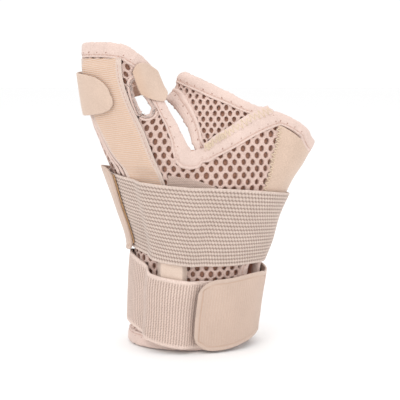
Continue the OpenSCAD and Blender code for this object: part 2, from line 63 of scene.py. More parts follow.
HAND_MID = [[112, 0], [125, 1.5], [140, 4], [155, 8], [172, 11]]
ULNAR_FRONT = [[70, 313], [99, 313], [110, 311], [123, 304.5], [140, 300]]
ULNAR_TOP = [[296, 135.5], [305, 132.5], [315, 128.4], [328, 122.8], [342, 119.8], [358, 118],
             [375, 118.6], [390, 120.8], [401, 123]]
ULNAR_BACK = 400
FORK_Z = 112
BACK_SEAM = 150
SLIT_FRONT, SLIT_BACK, SLIT_TOP = 323, 345, 66
TAPE_W, WEB_TAPE_W, HOLE_TAPE_W, SLIT_TAPE_W, SLOT_TAPE_W = 8.5, 6.2, 6.0, 6, 3.4
LINING_IN, LINING_OUT, LINING_CELL = -3.3, -2.6, 2.0
PANEL_IN, PANEL_OUT = -3.5, 0.35
BORDER_GAP = 0.3
EDGE = 0.6


def curve(table, x):
    """Smooth curve through a table of [position, value], level beyond its ends."""
    t = np.asarray(table, float)
    xs, ys = t[:, 0], t[:, 1]
    last = len(xs) - 1
    k = np.clip(x, xs[0], xs[-1])
    i = np.clip(np.searchsorted(xs, k, side="right") - 1, 0, last - 1)
    before = np.maximum(np.arange(last + 1) - 1, 0)
    after = np.minimum(np.arange(last + 1) + 1, last)
    slope = (ys[after] - ys[before]) / (xs[after] - xs[before])
    h = xs[i + 1] - xs[i]
    s = (k - xs[i]) / h
    return (ys[i] * (1 + 2 * s) * (1 - s) ** 2 + slope[i] * h * s * (1 - s) ** 2
            + ys[i + 1] * s * s * (3 - 2 * s) - slope[i + 1] * h * s * s * (1 - s))


def smooth(lo, hi, v):
    t = np.clip((np.asarray(v, float) - lo) / (hi - lo), 0, 1)
    return t * t * (3 - 2 * t)


def plateau(v, a, b, c, d):
    """0 below a, 1 from b to c, 0 above d."""
    return smooth(a, b, v) * (1 - smooth(c, d, v))


def ridge(v, middle, width):
    return np.exp(-((v - middle) / width) ** 2)


def wave(turns):
    """From 1 down to 0 and back once in each turn."""
    return 0.5 + 0.5 * np.cos(2 * math.pi * turns)


def mix(a, b, t):
    return a + (b - a) * t


def section(fork, z):
    """Centre x and y, half width and half depth. fork is 0 on the thumb flap, 1 on the hand tube."""
    z = np.asarray(z, float)

    def pack(left, right, depth, middle):
        return np.stack([(left + right) / 2, middle, (right - left) / 2, depth], -1)

    trunk = pack(curve(TRUNK_LEFT, z), curve(TRUNK_RIGHT, z), curve(TRUNK_DEPTH, z), 0 * z)
    thumb = pack(curve(THUMB_LEFT, z), curve(THUMB_RIGHT, z), curve(THUMB_DEPTH, z), curve(THUMB_MID, z))
    hand = pack(curve(HAND_LEFT, z), curve(HAND_RIGHT, z), curve(HAND_DEPTH, z), curve(HAND_MID, z))
    upper = mix(thumb, hand, np.asarray(fork, float)[..., None])
    return np.where((z <= FORK_Z)[..., None], trunk, upper)


def at(fork, deg, z, off=0.0):
    """The point off mm outside the sleeve at that angle and height."""
    fork, deg, z, off = np.broadcast_arrays(*[np.asarray(v, float) for v in (fork, deg, z, off)])
    s = section(fork, z)
    a = np.radians(deg)
    return np.stack([s[..., 0] + (s[..., 2] + off) * np.cos(a),
                     s[..., 1] + (s[..., 3] + off) * np.sin(a), z], -1)


def front_deg(fork, x, z):
    s = section(fork, z)
    return 360 - np.degrees(np.arccos(np.clip((x - s[..., 0]) / s[..., 2], -1, 1)))


def front(fork, x, z):
    return [fork, float(front_deg(fork, x, z)), z]


def fronts(fork, *places):
    return [front(fork, x, z) for x, z in places]


def points(fork, *places):
    return [[fork, deg, z] for deg, z in places]


def back(fork, x, z):
    return [fork, 360 - float(front_deg(fork, x, z)), z]


def unit(v):
    return v / np.linalg.norm(v, axis=-1, keepdims=True)


def onto(fork, q, off):
    """Points moved level, along their own angle, to off mm outside the sleeve."""
    s = section(np.broadcast_to(fork, q.shape[:-1]), q[..., 2])
    deg = np.degrees(np.arctan2((q[..., 1] - s[..., 1]) / s[..., 3], (q[..., 0] - s[..., 0]) / s[..., 2]))
    return at(fork, deg, q[..., 2], off)


# Edge lines, [fork, angle, height].
THUMB_EDGE = points(0, (150, 104), (150, 115), (150, 130), (150, 145), (150, 160), (151, 170), (156, 178.5),
                    (166, 184), (178, 186), (195, 186.2), (220, 186.3), (245, 186.3))
THUMB_EDGE += fronts(0, (-46.5, 186), (-37.4, 184.6), (-31.5, 181.3), (-25.6, 176.6), (-21.5, 171.9),
                     (-19.1, 167.2), (-17.5, 162.5), (-16.7, 157.5), (-14.5, 153), (-11, 146.6),
                     (-7.4, 140.2), (-4.2, 133))
THUMB_EDGE += [front(0.1, -1.2, 127)]
NOTCH = [front(0.3, 0.8, 123.8), front(0.5, 2.4, 122.6), front(0.7, 4.4, 123)]
SEAM_LINE = fronts(1, (8, 124.2), (13, 126.4), (18.5, 129.2), (25.5, 133.2), (34.6, 138.8), (43, 143),
                   (50, 145.4))
RIM_RIGHT = fronts(1, (55, 144.9), (60, 143), (66, 139.9), (73, 134.4))
RIM_RIGHT += points(1, (342, 129.5), (358, 127.2), (375, 127.5))
RIM_BACK = points(1, (390, 129.5), (410, 134), (430, 139.5), (450, 145.5), (470, 151.5), (490, 157),
                  (508, 161))
WEB_RIM = fronts(1, (51.6, 146.8), (43, 148.2), (32, 152.3), (21, 157.8), (10, 163), (2, 166.2))
WEB_RIM += points(1, (196, 168.2), (176, 168), (160, 165.6), (151, 163.4))
WEB_HOLE = points(1, (152, 150), (168, 152), (184, 152.6))
WEB_HOLE += fronts(1, (-13.6, 151.8), (-10.2, 148.8), (-6.8, 145.2), (-3.9, 141.3), (-1.4, 137), (0.5, 132),
                   (2, 126.4))
DORSAL_HOLE = [[0, 150, 101]] + [back(1, x, z) for x, z in (
    (-31, 104), (-17, 107.5), (-3, 113), (6, 121), (9, 130), (6, 139), (1, 145))] + [[1, 150, 150]]


def unwrap(other, near):
    """Angles in other moved by whole turns to those nearest to near's."""
    other[:, 1] += 360 * np.round((near[:, 1] - other[:, 1]) / 360)


def path_at(path, t, closed=False):
    """Points [fork, angle, height] on the smooth curve through a path, at parameters t."""
    p = np.asarray(path, float)
    n = len(p)
    i = np.floor(t).astype(int)
    i = i % n if closed else np.clip(i, 0, n - 2)
    s = (t - np.floor(t) if closed else t - i)[:, None]

    def pick(k):
        return p[k % n] if closed else p[np.clip(k, 0, n - 1)]

    a, b, c, d = pick(i - 1), pick(i), pick(i + 1), pick(i + 2)
    if closed:
        for other in (a, c, d):
            unwrap(other, b)
    return b + 0.5 * s * (c - a + s * (2 * a - 5 * b + 4 * c - d + s * (3 * (b - c) + d - a)))


def beside(path, t, w, off, closed=False):
    """Points w mm beside a path, off mm above the sleeve: t (n), w (n or 1, m), off (n or 1, m)."""
    e = 0.04
    end = 1e9 if closed else len(path) - 1
    g = path_at(path, t, closed)
    g0 = path_at(path, t - e if closed else np.clip(t - e, 0, end), closed)
    g1 = path_at(path, t + e if closed else np.clip(t + e, 0, end), closed)
    if closed:
        for other in (g0, g1):
            unwrap(other, g)
    p = at(*g.T)
    along = unit(at(*g1.T) - at(*g0.T))
    out = unit(at(*g.T, 1.0) - p)
    across = np.cross(out, along)
    q = p[:, None] + np.atleast_2d(w)[..., None] * across[:, None]
    return onto(g[:, 0][:, None], q, np.atleast_2d(off)), out, along


def even_steps(path, step, closed=False, w=0.0):
    """Path parameters about step mm apart, and the distance run at each."""
    last = len(path) - (0 if closed else 1)
    t = np.linspace(0, last, 60 * last + 1)
    p = beside(path, t, w, 0.0, closed)[0][:, 0]
    run = np.concatenate([[0], np.cumsum(np.linalg.norm(np.diff(p, axis=0), axis=1))])
    n = max(4, int(round(run[-1] / step)))
    s = np.linspace(0, run[-1], n + 1)
    if closed:
        s = s[:-1]
    return np.interp(s, run, t), s


def ripple(s, seed, length):
    """Smooth repeatable noise from about -1 to 1 along s, with features of that length."""
    total = 0
    for k in range(5):
        f = (0.55 + 0.37 * k) / length
        total = total + math.cos(seed * 1.7 + k) * np.sin(2 * math.pi * f * s + seed * (2.3 + k))
    return total / 2.2


def drape(p):
    """The same slow unevenness for every soft piece, so that layers stay apart. Nothing moves at the hem."""
    x, y, z = p[..., 0], p[..., 1], p[..., 2]
    rise = smooth(2, 30, z)
    a = np.sin(0.11 * z + 0.07 * x + 1.1) + 0.6 * np.sin(0.19 * x - 0.13 * z + 2.7)
    b = np.sin(0.09 * x + 0.16 * z + 0.4) + 0.5 * np.sin(0.23 * z + 0.12 * y + 5.1)
    return p + np.stack([0.22 * b * rise, 0.32 * a * rise, 0.12 * b * rise], -1)


# Meshes.
def add_object(name, data):
    obj = bpy.data.objects.new(name, data)
    bpy.context.scene.collection.objects.link(obj)
    return obj


def make(name, verts, faces, material, body="sleeve", node=None, slot=None, uv=None, relief=None):
    """A piece of the visual model, from points in mm on the undraped sleeve."""
    mesh = bpy.data.meshes.new(name)
    verts = drape(verts)
    mesh.from_pydata((verts * MM).tolist(), [], faces if isinstance(faces, list) else faces.tolist())
    mesh.validate()
    mesh.polygons.foreach_set("use_smooth", np.ones(len(mesh.polygons), bool))
    index = np.zeros(len(mesh.loops), np.int32)
    mesh.loops.foreach_get("vertex_index", index)
    if uv is not None:
        layer = mesh.uv_layers.new(name="weave")
        layer.data.foreach_set("uv", (uv[index] * 0.1).astype(np.float32).ravel())
    # The relief attribute, 1 by default, sets how much painted shade a vertex gets: lower values darken it.
    values = mesh.attributes.new("relief", "FLOAT", "POINT")
    height = np.ones(len(verts)) if relief is None else relief
    values.data.foreach_set("value", height.astype(np.float32))
    obj = add_object(name, mesh)
    mesh.materials.append(material)
    if node:
        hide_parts(node)
    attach(obj, body)
    return obj


def flip_inside_out(verts, faces):
    """Faces turned so that the closed mesh has a positive volume."""
    f = np.asarray(faces)
    a, b, c, d = (verts[f[:, k]] for k in range(4))
    volume = (np.einsum("ij,ij->i", a, np.cross(b, c)) + np.einsum("ij,ij->i", a, np.cross(c, d))).sum()
    return f[:, ::-1] if volume < 0 else f


def cells(g):
    """The quads of a grid of vertex numbers."""
    return np.stack([g[:-1, :-1], g[:-1, 1:], g[1:, 1:], g[1:, :-1]], -1).reshape(-1, 4)


def run_along(points, axis):
    """Distance run in mm along one axis of a grid of points, from 0."""
    steps = np.cumsum(np.linalg.norm(np.diff(points, axis=axis), axis=2), axis)
    return np.concatenate([np.zeros_like(steps.take([0], axis)), steps], axis)


def slab(name, surface, u, v, lo, hi, material, edge=EDGE, relief=None, depth=0.0, **kw):
    """A sheet with rounded edges. surface(U, V, off) gives points; relief(S, T, U, V) is 0 to 1 and
    lowers the outer face by depth mm where it is 0, where it also paints shade by darkening the colour
    towards the material's shade colour. S and T run in mm along u and v."""
    U, V = np.meshgrid(u, v)
    lo = np.broadcast_to(lo(U, V) if callable(lo) else lo, U.shape)
    hi = np.broadcast_to(hi(U, V) if callable(hi) else hi, U.shape)
    mid, half = (lo + hi) / 2, (hi - lo) / 2
    m = surface(U, V, mid)
    run_u, run_v = run_along(m, 1), run_along(m, 0)
    d = np.minimum(np.minimum(run_u, run_u[:, -1:] - run_u), np.minimum(run_v, run_v[-1:] - run_v))
    k = np.sqrt(np.clip(1 - (1 - np.clip(d / edge, 0, 1)) ** 2, 0, 1))
    s_mm = np.broadcast_to(run_u[len(v) // 2], U.shape)
    r = np.ones(U.shape) if relief is None else relief(s_mm, run_v, U, V)
    outer = surface(U, V, mid + half * k - depth * (1 - r) * k)
    inner = surface(U, V, mid - half * k)
    nv, nu = U.shape
    top = np.arange(nv * nu).reshape(nv, nu)
    low = top.copy()
    low[1:-1, 1:-1] = nv * nu + np.arange((nv - 2) * (nu - 2)).reshape(nv - 2, nu - 2)
    verts = np.concatenate([outer.reshape(-1, 3), inner[1:-1, 1:-1].reshape(-1, 3)])
    faces = flip_inside_out(verts, np.concatenate([cells(top), cells(low)[:, ::-1]]))
    flat = np.stack([s_mm, run_v], -1)
    uv = np.concatenate([flat.reshape(-1, 2), flat[1:-1, 1:-1].reshape(-1, 2)])
    tone = np.concatenate([r.reshape(-1), np.ones((nv - 2) * (nu - 2))])
    return make(name, verts, faces, material, uv=uv, relief=tone, **kw)


def stops(a, b, length, step):
    """Stops from a to b over a run of that many mm, closer together in the rounded edges."""
    rim = np.array([0, 0.03, 0.12, 0.3, 0.55, 1.0]) * EDGE
    n = max(2, int(round((length - 2 * EDGE) / step)))
    s = np.concatenate([rim[:-1], np.linspace(EDGE, length - EDGE, n + 1), length - rim[:-1][::-1]])
    return a + (b - a) * s / length


def tube_faces(verts, closed=False):
    """Faces of a tube of n rings of k points, capped at its ends unless it runs round to its start."""
    n, k = verts.shape[:2]
    grid = np.arange(n * k).reshape(n, k)
    rows = np.concatenate([grid, grid[:1]]) if closed else grid
    faces = flip_inside_out(verts.reshape(-1, 3), cells(np.concatenate([rows, rows[:, :1]], 1))).tolist()
    if closed:
        return faces
    caps = [grid[0].tolist()[::-1], grid[-1].tolist()]
    flipped = faces[0][1] != grid[0, 1]
    return faces + ([c[::-1] for c in caps] if flipped else caps)


FOLD = [[0.3, 0.3], [-0.1, -0.45], [-0.28, -1.4], [-0.1, -2.35], [0.45, -3.1], [1.5, -3.55]]


def tape(name, path, width, step=0.8, seed=1.0, closed=False, sink=(0, 0), wider=((0, 1),), **kw):
    """Binding tape folded over the sleeve's edge: the path is the fold, width runs into the fabric. The first
    and last sink mm dip into it. wider is a table of [path parameter, share of the width]."""
    side = math.copysign(1, width)
    w_in = abs(width)
    outer = [[w_in + 0.1, -0.1], [w_in - 0.05, 0.45], [w_in - 0.45, 0.72], [w_in - 1.0, 0.66],
             [w_in - 1.5, 0.42], [w_in - 2.0, 0.66], [w_in - 2.8, 0.9], [w_in * 0.5, 1.0],
             [w_in * 0.3, 1.0], [1.3, 0.88], [0.7, 0.68]]
    inner = [[w_in * 0.4, -3.75], [w_in - 2.4, -3.75], [w_in - 1.5, -3.5], [w_in - 0.5, -3.7], [w_in, -3.3]]
    ring = np.array(outer + FOLD + inner)
    t, s = even_steps(path, step, closed)
    near_fold = 1 - smooth(0, 2.5, ring[:, 0])
    crown = np.clip(ring[:, 1], 0, 1)
    pucker = (0.2 * ripple(s, seed, 6.5) + 0.1 * ripple(s, seed + 3, 2.6))[:, None]
    share = np.interp(t, *np.array(wider, float).T)[:, None]
    w = ring[:, 0][None] * np.where(ring[:, 0] > 1, share, 1) + pucker * near_fold[None] * 1.2
    off = ring[:, 1][None] + pucker * crown[None]
    for far, drop in zip((s, s[-1] - s), sink):
        if drop:
            off = off - 1.3 * (1 - smooth(0, drop, far))[:, None]
    verts, _, _ = beside(path, t, side * w, off, closed)
    n, k = verts.shape[:2]
    uv = np.stack([np.broadcast_to(s[:, None], (n, k)), w], -1).reshape(-1, 2)
    # Painted shade: the tape's outer face is darker along the groove at the inner stitch line.
    groove = 1 - 0.35 * ridge(ring[:, 0], w_in - 1.5, 0.35) * (ring[:, 1] > 0)
    tone = np.broadcast_to(groove, (n, k)).reshape(-1)
    return make(name, verts.reshape(-1, 3), tube_faces(verts, closed), binding, uv=uv, relief=tone,
                slot="binding", **kw)


def ring_quads(count, levels, sides):
    """Quads of so many alike pieces, each of levels rings of points."""
    grid = np.arange(count * levels * sides).reshape(count, levels, sides)
    return np.concatenate([cells(g) for g in np.concatenate([grid, grid[..., :1]], 2)])


def threads(name, starts, ends, normals, radius, material, rise=0.25, **kw):
    """Stitches: short bowed threads, half sunk in the fabric."""
    p0, p1, n = (np.asarray(v, float) for v in (starts, ends, normals))
    sides, levels = 6, 6
    girth = np.array([0.25, 0.8, 1, 1, 0.8, 0.25])
    share = np.array([0, 0.12, 0.35, 0.65, 0.88, 1.0])
    side = np.cross(n, unit(p1 - p0))
    centre = p0[:, None] + (p1 - p0)[:, None] * share[None, :, None] \
        + n[:, None] * (rise * np.sin(math.pi * share))[None, :, None]
    a = (np.arange(sides) * 2 * math.pi / sides)[None, None, :, None]
    ring = side[:, None, None] * np.cos(a) + n[:, None, None] * np.sin(a)
    verts = centre[:, :, None] + radius * girth[None, :, None, None] * ring
    faces = ring_quads(len(p0), levels, sides).tolist()
    for first in range(0, len(p0) * levels * sides, levels * sides):
        last = first + (levels - 1) * sides
        faces += [list(range(first, first + sides))[::-1], list(range(last, last + sides))]
    return make(name, verts.reshape(-1, 3), faces, material, **kw)


def stitch_row(path, w, off, pitch, length, closed=False):
    """Starts, ends and normals of a straight row of stitches beside a path."""
    t, _ = even_steps(path, pitch, closed, w)
    last = len(path) if closed else len(path) - 1
    step = np.gradient(t) * length / pitch
    a, n, _ = beside(path, t[:-1], w, off, closed)
    b, _, _ = beside(path, np.minimum(t[:-1] + step[:-1], last), w, off, closed)
    return a[:, 0], b[:, 0], n


def zigzag_row(path, w0, w1, off, pitch, wobble=(0, 0)):
    """Starts, ends and normals of a zigzag between two lines beside a path. wobble makes threads uneven."""
    t, _ = even_steps(path, pitch)
    k = np.arange(len(t))
    low, high = w0 + wobble[0] * np.sin(k * 2.4), w1 + wobble[1] * np.sin(k * 1.7 + 1)
    p, n, _ = beside(path, t, np.where(k % 2 == 0, low, high)[:, None], np.full((len(t), 1), off))
    return p[:-1, 0], p[1:, 0], n[:-1]


def join_rows(rows):
    return [np.concatenate([r[k] for r in rows]) for k in range(3)]


# Honeycomb spacer mesh.
Z_STEP = 2.0
Z_ROWS = np.arange(0, 192 + Z_STEP, Z_STEP)


class Cloth:
    """Flat coordinates on one side of the sleeve: s mm round it from a reference line, and the height."""

    def __init__(self, fork, first, last, ref):
        self.fork = fork
        self.deg = np.arange(first, last + 1.0)
        D, Z = np.meshgrid(self.deg, Z_ROWS)
        p = at(fork, D, Z)
        run = run_along(p, 1)
        at_ref = [np.interp(ref(z), self.deg, r) for z, r in zip(Z_ROWS, run)]
        self.run = run - np.array(at_ref)[:, None]

    def _blend(self, value, z, forward):
        value, z = np.broadcast_arrays(np.asarray(value, float), np.asarray(z, float))
        row = np.clip((z / Z_STEP).astype(int), 0, len(Z_ROWS) - 2)
        f = z / Z_STEP - row
        out = np.zeros(value.shape)
        for k in np.unique(row):
            m = row == k
            if forward:
                low, high = (np.interp(value[m], self.deg, self.run[k + j]) for j in (0, 1))
            else:
                low, high = (np.interp(value[m], self.run[k + j], self.deg) for j in (0, 1))
            out[m] = mix(low, high, f[m])
        return out

    def s_of(self, deg, z):
        return self._blend(deg, z, True)

    def deg_of(self, s, z):
        return self._blend(s, z, False)

    def surface(self, s, z, off):
        return at(self.fork, self.deg_of(s, z), z, off)


NOTCH_X = 2.4
flap_cloth = Cloth(0, 145, 360, lambda z: float(front_deg(0, NOTCH_X, z)))
hand_cloth = Cloth(1, 145, 420, lambda z: float(front_deg(1, NOTCH_X, z)))
back_cloth = Cloth(1, -20, 165, lambda z: 90.0)


def palm_surface(s, z, off):
    """The thumb flap's surface, passing over into the hand tube's at the crotch."""
    fork = smooth(-5, 7, s) * np.where(s < 0, 1 - smooth(123, 129, z), 1)
    return mix(flap_cloth.surface(s, z, off), hand_cloth.surface(s, z, off), fork[..., None])


def outline(*parts):
    """A closed polygon of [s, z] from parts, each a Cloth and a path."""
    poly = []
    for flat, path in parts:
        g = path_at(path, np.linspace(0, len(path) - 1, 4 * len(path) - 3))
        poly += np.stack([flat.s_of(g[:, 1], g[:, 2]), g[:, 2]], -1).tolist()
    return np.array(poly)


def border_of(poly, s, z):
    """Whether points are in the polygon, and the nearest points on its border."""
    a, b = poly, np.roll(poly, -1, axis=0)
    s, z = s[..., None], z[..., None]
    cross = (a[:, 1] > z) != (b[:, 1] > z)
    rise = np.where(b[:, 1] == a[:, 1], 1e-9, b[:, 1] - a[:, 1])
    hit = cross & (s < (b[:, 0] - a[:, 0]) * (z - a[:, 1]) / rise + a[:, 0])
    length2 = np.maximum(((b - a) ** 2).sum(1), 1e-9)
    t = np.clip(((s - a[:, 0]) * (b - a)[:, 0] + (z - a[:, 1]) * (b - a)[:, 1]) / length2, 0, 1)
    ns, nz = a[:, 0] + t * (b - a)[:, 0], a[:, 1] + t * (b - a)[:, 1]
    best = np.hypot(s - ns, z - nz).argmin(-1)[..., None]
    near_s, near_z = (np.take_along_axis(v, best, -1)[..., 0] for v in (ns, nz))
    return hit.sum(-1) % 2 == 1, near_s, near_z


def inside(poly, s, z, margin):
    """Whether points are in the polygon and more than margin mm from its border."""
    hit, ns, nz = border_of(poly, s, z)
    return hit & (np.hypot(s - ns, z - nz) > margin)


def pull_in(poly, s, z):
    """Points outside the polygon moved to just inside its border."""
    hit, ns, nz = border_of(poly, s, z)
    d = np.maximum(np.hypot(s - ns, z - nz), 1e-6)
    reach = BORDER_GAP / d
    return np.where(hit, s, ns + (ns - s) * reach), np.where(hit, z, nz + (nz - z) * reach)


CELL_W, CELL_H, CELL_POINTS = 5.6, 4.0, 12
HOLE_W, HOLE_H, HOLE_WANDER = 1.35, 1.85, 0.12
# The wall of a hole, from the outer face to the inner: [share of the way to the hole, offset in mm].
HOLE_WALL = [(0.0, 0.0), (0.62, -0.06), (0.9, -0.3), (1.0, -0.62), (1.0, -1.75), (0.8, -2.1), (0.0, -2.3)]


def honeycomb(name, surface, poly, slot_grow=None, scale=1.0, **kw):
    """Spacer mesh with oval holes: one ring of twelve points for each level of each cell. No cell has its
    middle in the slot grown by slot_grow mm."""
    cell_w, cell_h = CELL_W * scale, CELL_H * scale
    corner = np.array([[0.5, -1 / 3], [0.5, 0], [0.5, 1 / 3], [0.25, 0.5], [0, 2 / 3], [-0.25, 0.5],
                       [-0.5, 1 / 3], [-0.5, 0], [-0.5, -1 / 3], [-0.25, -0.5], [0, -2 / 3], [0.25, -0.5]])
    corner = corner * [cell_w, cell_h]
    turn = np.arctan2(corner[:, 1], corner[:, 0])
    oval = np.stack([np.cos(turn) * HOLE_W, np.sin(turn) * HOLE_H], -1) * scale
    rows = np.arange(int(poly[:, 1].min() / cell_h) - 1, int(poly[:, 1].max() / cell_h) + 2)
    cols = np.arange(int(poly[:, 0].min() / cell_w) - 1, int(poly[:, 0].max() / cell_w) + 2)
    C, R = np.meshgrid(cols, rows)
    s0 = (C + 0.5 * (R % 2)) * cell_w
    z0 = R * cell_h
    keep = inside(poly, s0, z0, 1.2)
    if slot_grow is not None:
        keep &= ~in_slot(s0, z0, slot_grow)
    s0, z0 = s0[keep], z0[keep]
    hole_s = s0 + HOLE_WANDER * np.sin(s0 * 1.3 + z0 * 2.1)
    hole_z = z0 + HOLE_WANDER * np.cos(s0 * 0.9 - z0 * 1.7)
    size = 1 + 0.06 * np.sin(s0 * 0.31 + z0 * 0.23) + 0.04 * np.sin(s0 * 2.9 + z0 * 1.3)
    verts, flats, hole_wall_shade = [], [], []
    for share, off in HOLE_WALL:
        rim = corner[None] + np.stack([s0, z0], -1)[:, None]
        hole = oval[None] * size[:, None, None] + np.stack([hole_s, hole_z], -1)[:, None]
        q = mix(rim, hole, share)
        q = np.stack(pull_in(poly, q[..., 0], q[..., 1]), -1)
        if slot_grow is not None:
            q = np.stack(push_out(q[..., 0], q[..., 1]), -1)
        verts.append(surface(q[..., 0], q[..., 1], off))
        flats.append(q)
        # Painted shade in the holes: the hole walls and the inner face are darker than the outer face.
        hole_wall_shade.append(np.full(q.shape[:2], 1.0 if off > -0.2 else (0.75 if off > -0.5 else 0.3)))
    faces = ring_quads(len(s0), len(HOLE_WALL), CELL_POINTS)
    obj = make(name, np.stack(verts, 1).reshape(-1, 3), faces, mesh_cloth,
               uv=np.stack(flats, 1).reshape(-1, 2), relief=np.stack(hole_wall_shade, 1).reshape(-1), **kw)
    weld(obj)


def weld(obj):
    """Joins the cells at their shared corners and turns all the faces one way."""
    bm = bmesh.new()
    bm.from_mesh(obj.data)
    bmesh.ops.remove_doubles(bm, verts=bm.verts, dist=0.00002)
    bmesh.ops.recalc_face_normals(bm, faces=bm.faces)
    bm.to_mesh(obj.data)
    bm.free()


def closed_sheet(outer, inner, mask):
    """Points and faces of a closed sheet between two grids, over the cells where mask is true, and the
    numbers those points have when both grids are laid end to end."""
    top = np.arange(outer.size // 3).reshape(outer.shape[:2])
    low = top + top.size
    framed = np.pad(mask, 1)
    faces = []
    for j, i in zip(*np.nonzero(mask)):
        corners = ((j, i), (j, i + 1), (j + 1, i + 1), (j + 1, i))
        up, down = [top[c] for c in corners], [low[c] for c in corners]
        faces += [up, down[::-1]]
        for k, (dj, di) in enumerate(((0, 1), (1, 2), (2, 1), (1, 0))):
            if not framed[j + dj, i + di]:
                m = (k + 1) % 4
                faces.append([up[m], up[k], down[k], down[m]])
    used, faces = np.unique(np.array(faces), return_inverse=True)
    verts = np.concatenate([outer.reshape(-1, 3), inner.reshape(-1, 3)])[used]
    return verts, faces.reshape(-1, 4), used


def filled(name, surface, poly, slot_grow=None, **kw):
    """The lining: a plain closed sheet with that outline, from square cells."""
    s, z = (np.arange(poly[:, k].min(), poly[:, k].max() + LINING_CELL, LINING_CELL) for k in (0, 1))
    S, Z = np.meshgrid(s, z)
    cs, cz = (S[:-1, :-1] + LINING_CELL / 2), (Z[:-1, :-1] + LINING_CELL / 2)
    mask = inside(poly, cs, cz, 0.6)
    ps, pz = pull_in(poly, S, Z)
    if slot_grow is not None:
        mask &= ~in_slot(cs, cz, slot_grow)
        ps, pz = push_out(ps, pz)
    verts, faces, used = closed_sheet(surface(ps, pz, LINING_OUT), surface(ps, pz, LINING_IN), mask)
    flat = np.stack([S, Z], -1).reshape(-1, 2)
    make(name, verts, faces, lining, uv=np.concatenate([flat, flat])[used], **kw)


# Materials.
def linear(r, g, b):
    """A colour given in 0 to 255 as the eye sees it, as a shader takes it."""
    c = np.array([r, g, b]) / 255
    return tuple(np.where(c <= 0.04045, c / 12.92, ((c + 0.055) / 1.055) ** 2.4)) + (1.0,)


def set_inputs(node, **values):
    """Sets a node's inputs by name; an underscore stands for a space."""
    for key, value in values.items():
        node.inputs[key.replace("_", " ")].default_value = value


def shader(nodes, kind, **values):
    n = nodes.new("ShaderNode" + kind)
    set_inputs(n, **values)
    return n


def new_material(name):
    m = bpy.data.materials.new(name)
    m.use_nodes = True
    return m, m.node_tree.nodes, m.node_tree.links


def cloth(name, colour, shade, patch_size=18.0, sheen=0.25, rough=0.9, bump=0.25, bands=(), speck=0.5):
    """Fabric: two colours mixed by noise, with painted shade where relief is low (darker, towards the shade
    colour), and a woven bump.
    bands are (axis of the weave map, pitch in mm, strength)."""
    m, nodes, links = new_material(name)
    bsdf = nodes["Principled BSDF"]
    set_inputs(bsdf, Roughness=rough, Sheen_Weight=sheen, Sheen_Roughness=0.45, Specular_IOR_Level=0.25)
    where = shader(nodes, "TexCoord")

    def noise(scale_mm, detail, rough_n):
        n = shader(nodes, "TexNoise", Scale=1000.0 / scale_mm, Detail=detail, Roughness=rough_n)
        links.new(where.outputs["Object"], n.inputs["Vector"])
        return n.outputs["Fac"]

    def spread(source, lo, hi):
        r = shader(nodes, "MapRange", From_Min=lo, From_Max=hi)
        links.new(source, r.inputs["Value"])
        return r.outputs["Result"]

    def maths(kind, source, value, added=None):
        n = nodes.new("ShaderNodeMath")
        n.operation = kind
        links.new(source, n.inputs[0])
        n.inputs[1].default_value = value
        if added is not None:
            links.new(added, n.inputs[2])
        return n.outputs[0]

    tint = tuple(0.93 * c for c in linear(*colour)[:3]) + (1.0,)
    patches = shader(nodes, "MixRGB", Color1=linear(*colour), Color2=tint)
    links.new(spread(noise(patch_size, 3, 0.6), 0.35, 0.65), patches.inputs[0])
    specks = (1 - 0.16 * speck, 1 - 0.19 * speck, 1 - 0.21 * speck, 1)
    fine = shader(nodes, "MixRGB", Color2=specks)
    fine.blend_type = "MULTIPLY"
    links.new(spread(noise(0.7, 2, 0.7), 0.62, 0.4), fine.inputs[0])
    links.new(patches.outputs[0], fine.inputs[1])
    # Painted shade: the relief attribute mixes the base colour towards the shade colour wherever it is below
    # 1.
    relief = nodes.new("ShaderNodeAttribute")
    relief.attribute_name = "relief"
    shaded = shader(nodes, "MixRGB", Color1=linear(*shade))
    links.new(relief.outputs["Fac"], shaded.inputs[0])
    links.new(fine.outputs[0], shaded.inputs[2])
    links.new(shaded.outputs[0], bsdf.inputs["Base Color"])
    height = noise(0.45, 2, 0.6)
    if bands:
        uv = nodes.new("ShaderNodeUVMap")
        uv.uv_map = "weave"
        split = nodes.new("ShaderNodeSeparateXYZ")
        links.new(uv.outputs[0], split.inputs[0])
    for axis, pitch, strength in bands:
        turn = maths("MULTIPLY", split.outputs[axis], 10.0 * 2 * math.pi / pitch)
        height = maths("MULTIPLY_ADD", maths("SINE", turn, 0.5), strength, height)
    lump = shader(nodes, "Bump", Strength=bump, Distance=0.0004)
    links.new(height, lump.inputs["Height"])
    links.new(lump.outputs[0], bsdf.inputs["Normal"])
    return m


# The second colour of each fabric is its painted shade, used where the relief attribute is low.
binding = cloth("binding_tape", (223, 200, 190), (174, 136, 120), bump=0.3,
                bands=((0, 0.9, 0.35), (1, 0.9, 0.35)))
mesh_cloth = cloth("honeycomb_mesh", (228, 201, 190), (158, 114, 96), bump=0.5, speck=1.0,
                   bands=((0, 0.7, 0.5), (1, 0.55, 0.5)))
lining = cloth("brushed_lining", (204, 156, 134), (140, 100, 80), patch_size=7, bump=0.5, speck=1.0)
loop_cloth = cloth("loop_fabric", (213, 188, 170), (196, 162, 138), bump=0.35, sheen=0.4, speck=0.8)
pocket_cloth = cloth("ribbed_pocket", (218, 199, 188), (205, 168, 138), bump=0.3, bands=((0, 0.8, 0.3),))
smooth_pocket = cloth("smooth_pocket", (219, 198, 183), (190, 156, 134), bump=0.25)
elastic = cloth("ribbed_elastic", (224, 206, 195), (112, 86, 74), bump=0.5, speck=0.9, bands=((0, 0.8, 0.4),))
knit_elastic = cloth("knit_elastic", (233, 212, 201), (146, 118, 104), bump=0.5, speck=0.9,
                     bands=((1, 0.9, 0.5),))
strap_cloth = cloth("strap_fabric", (211, 187, 170), (200, 166, 140), bump=0.3, sheen=0.4)
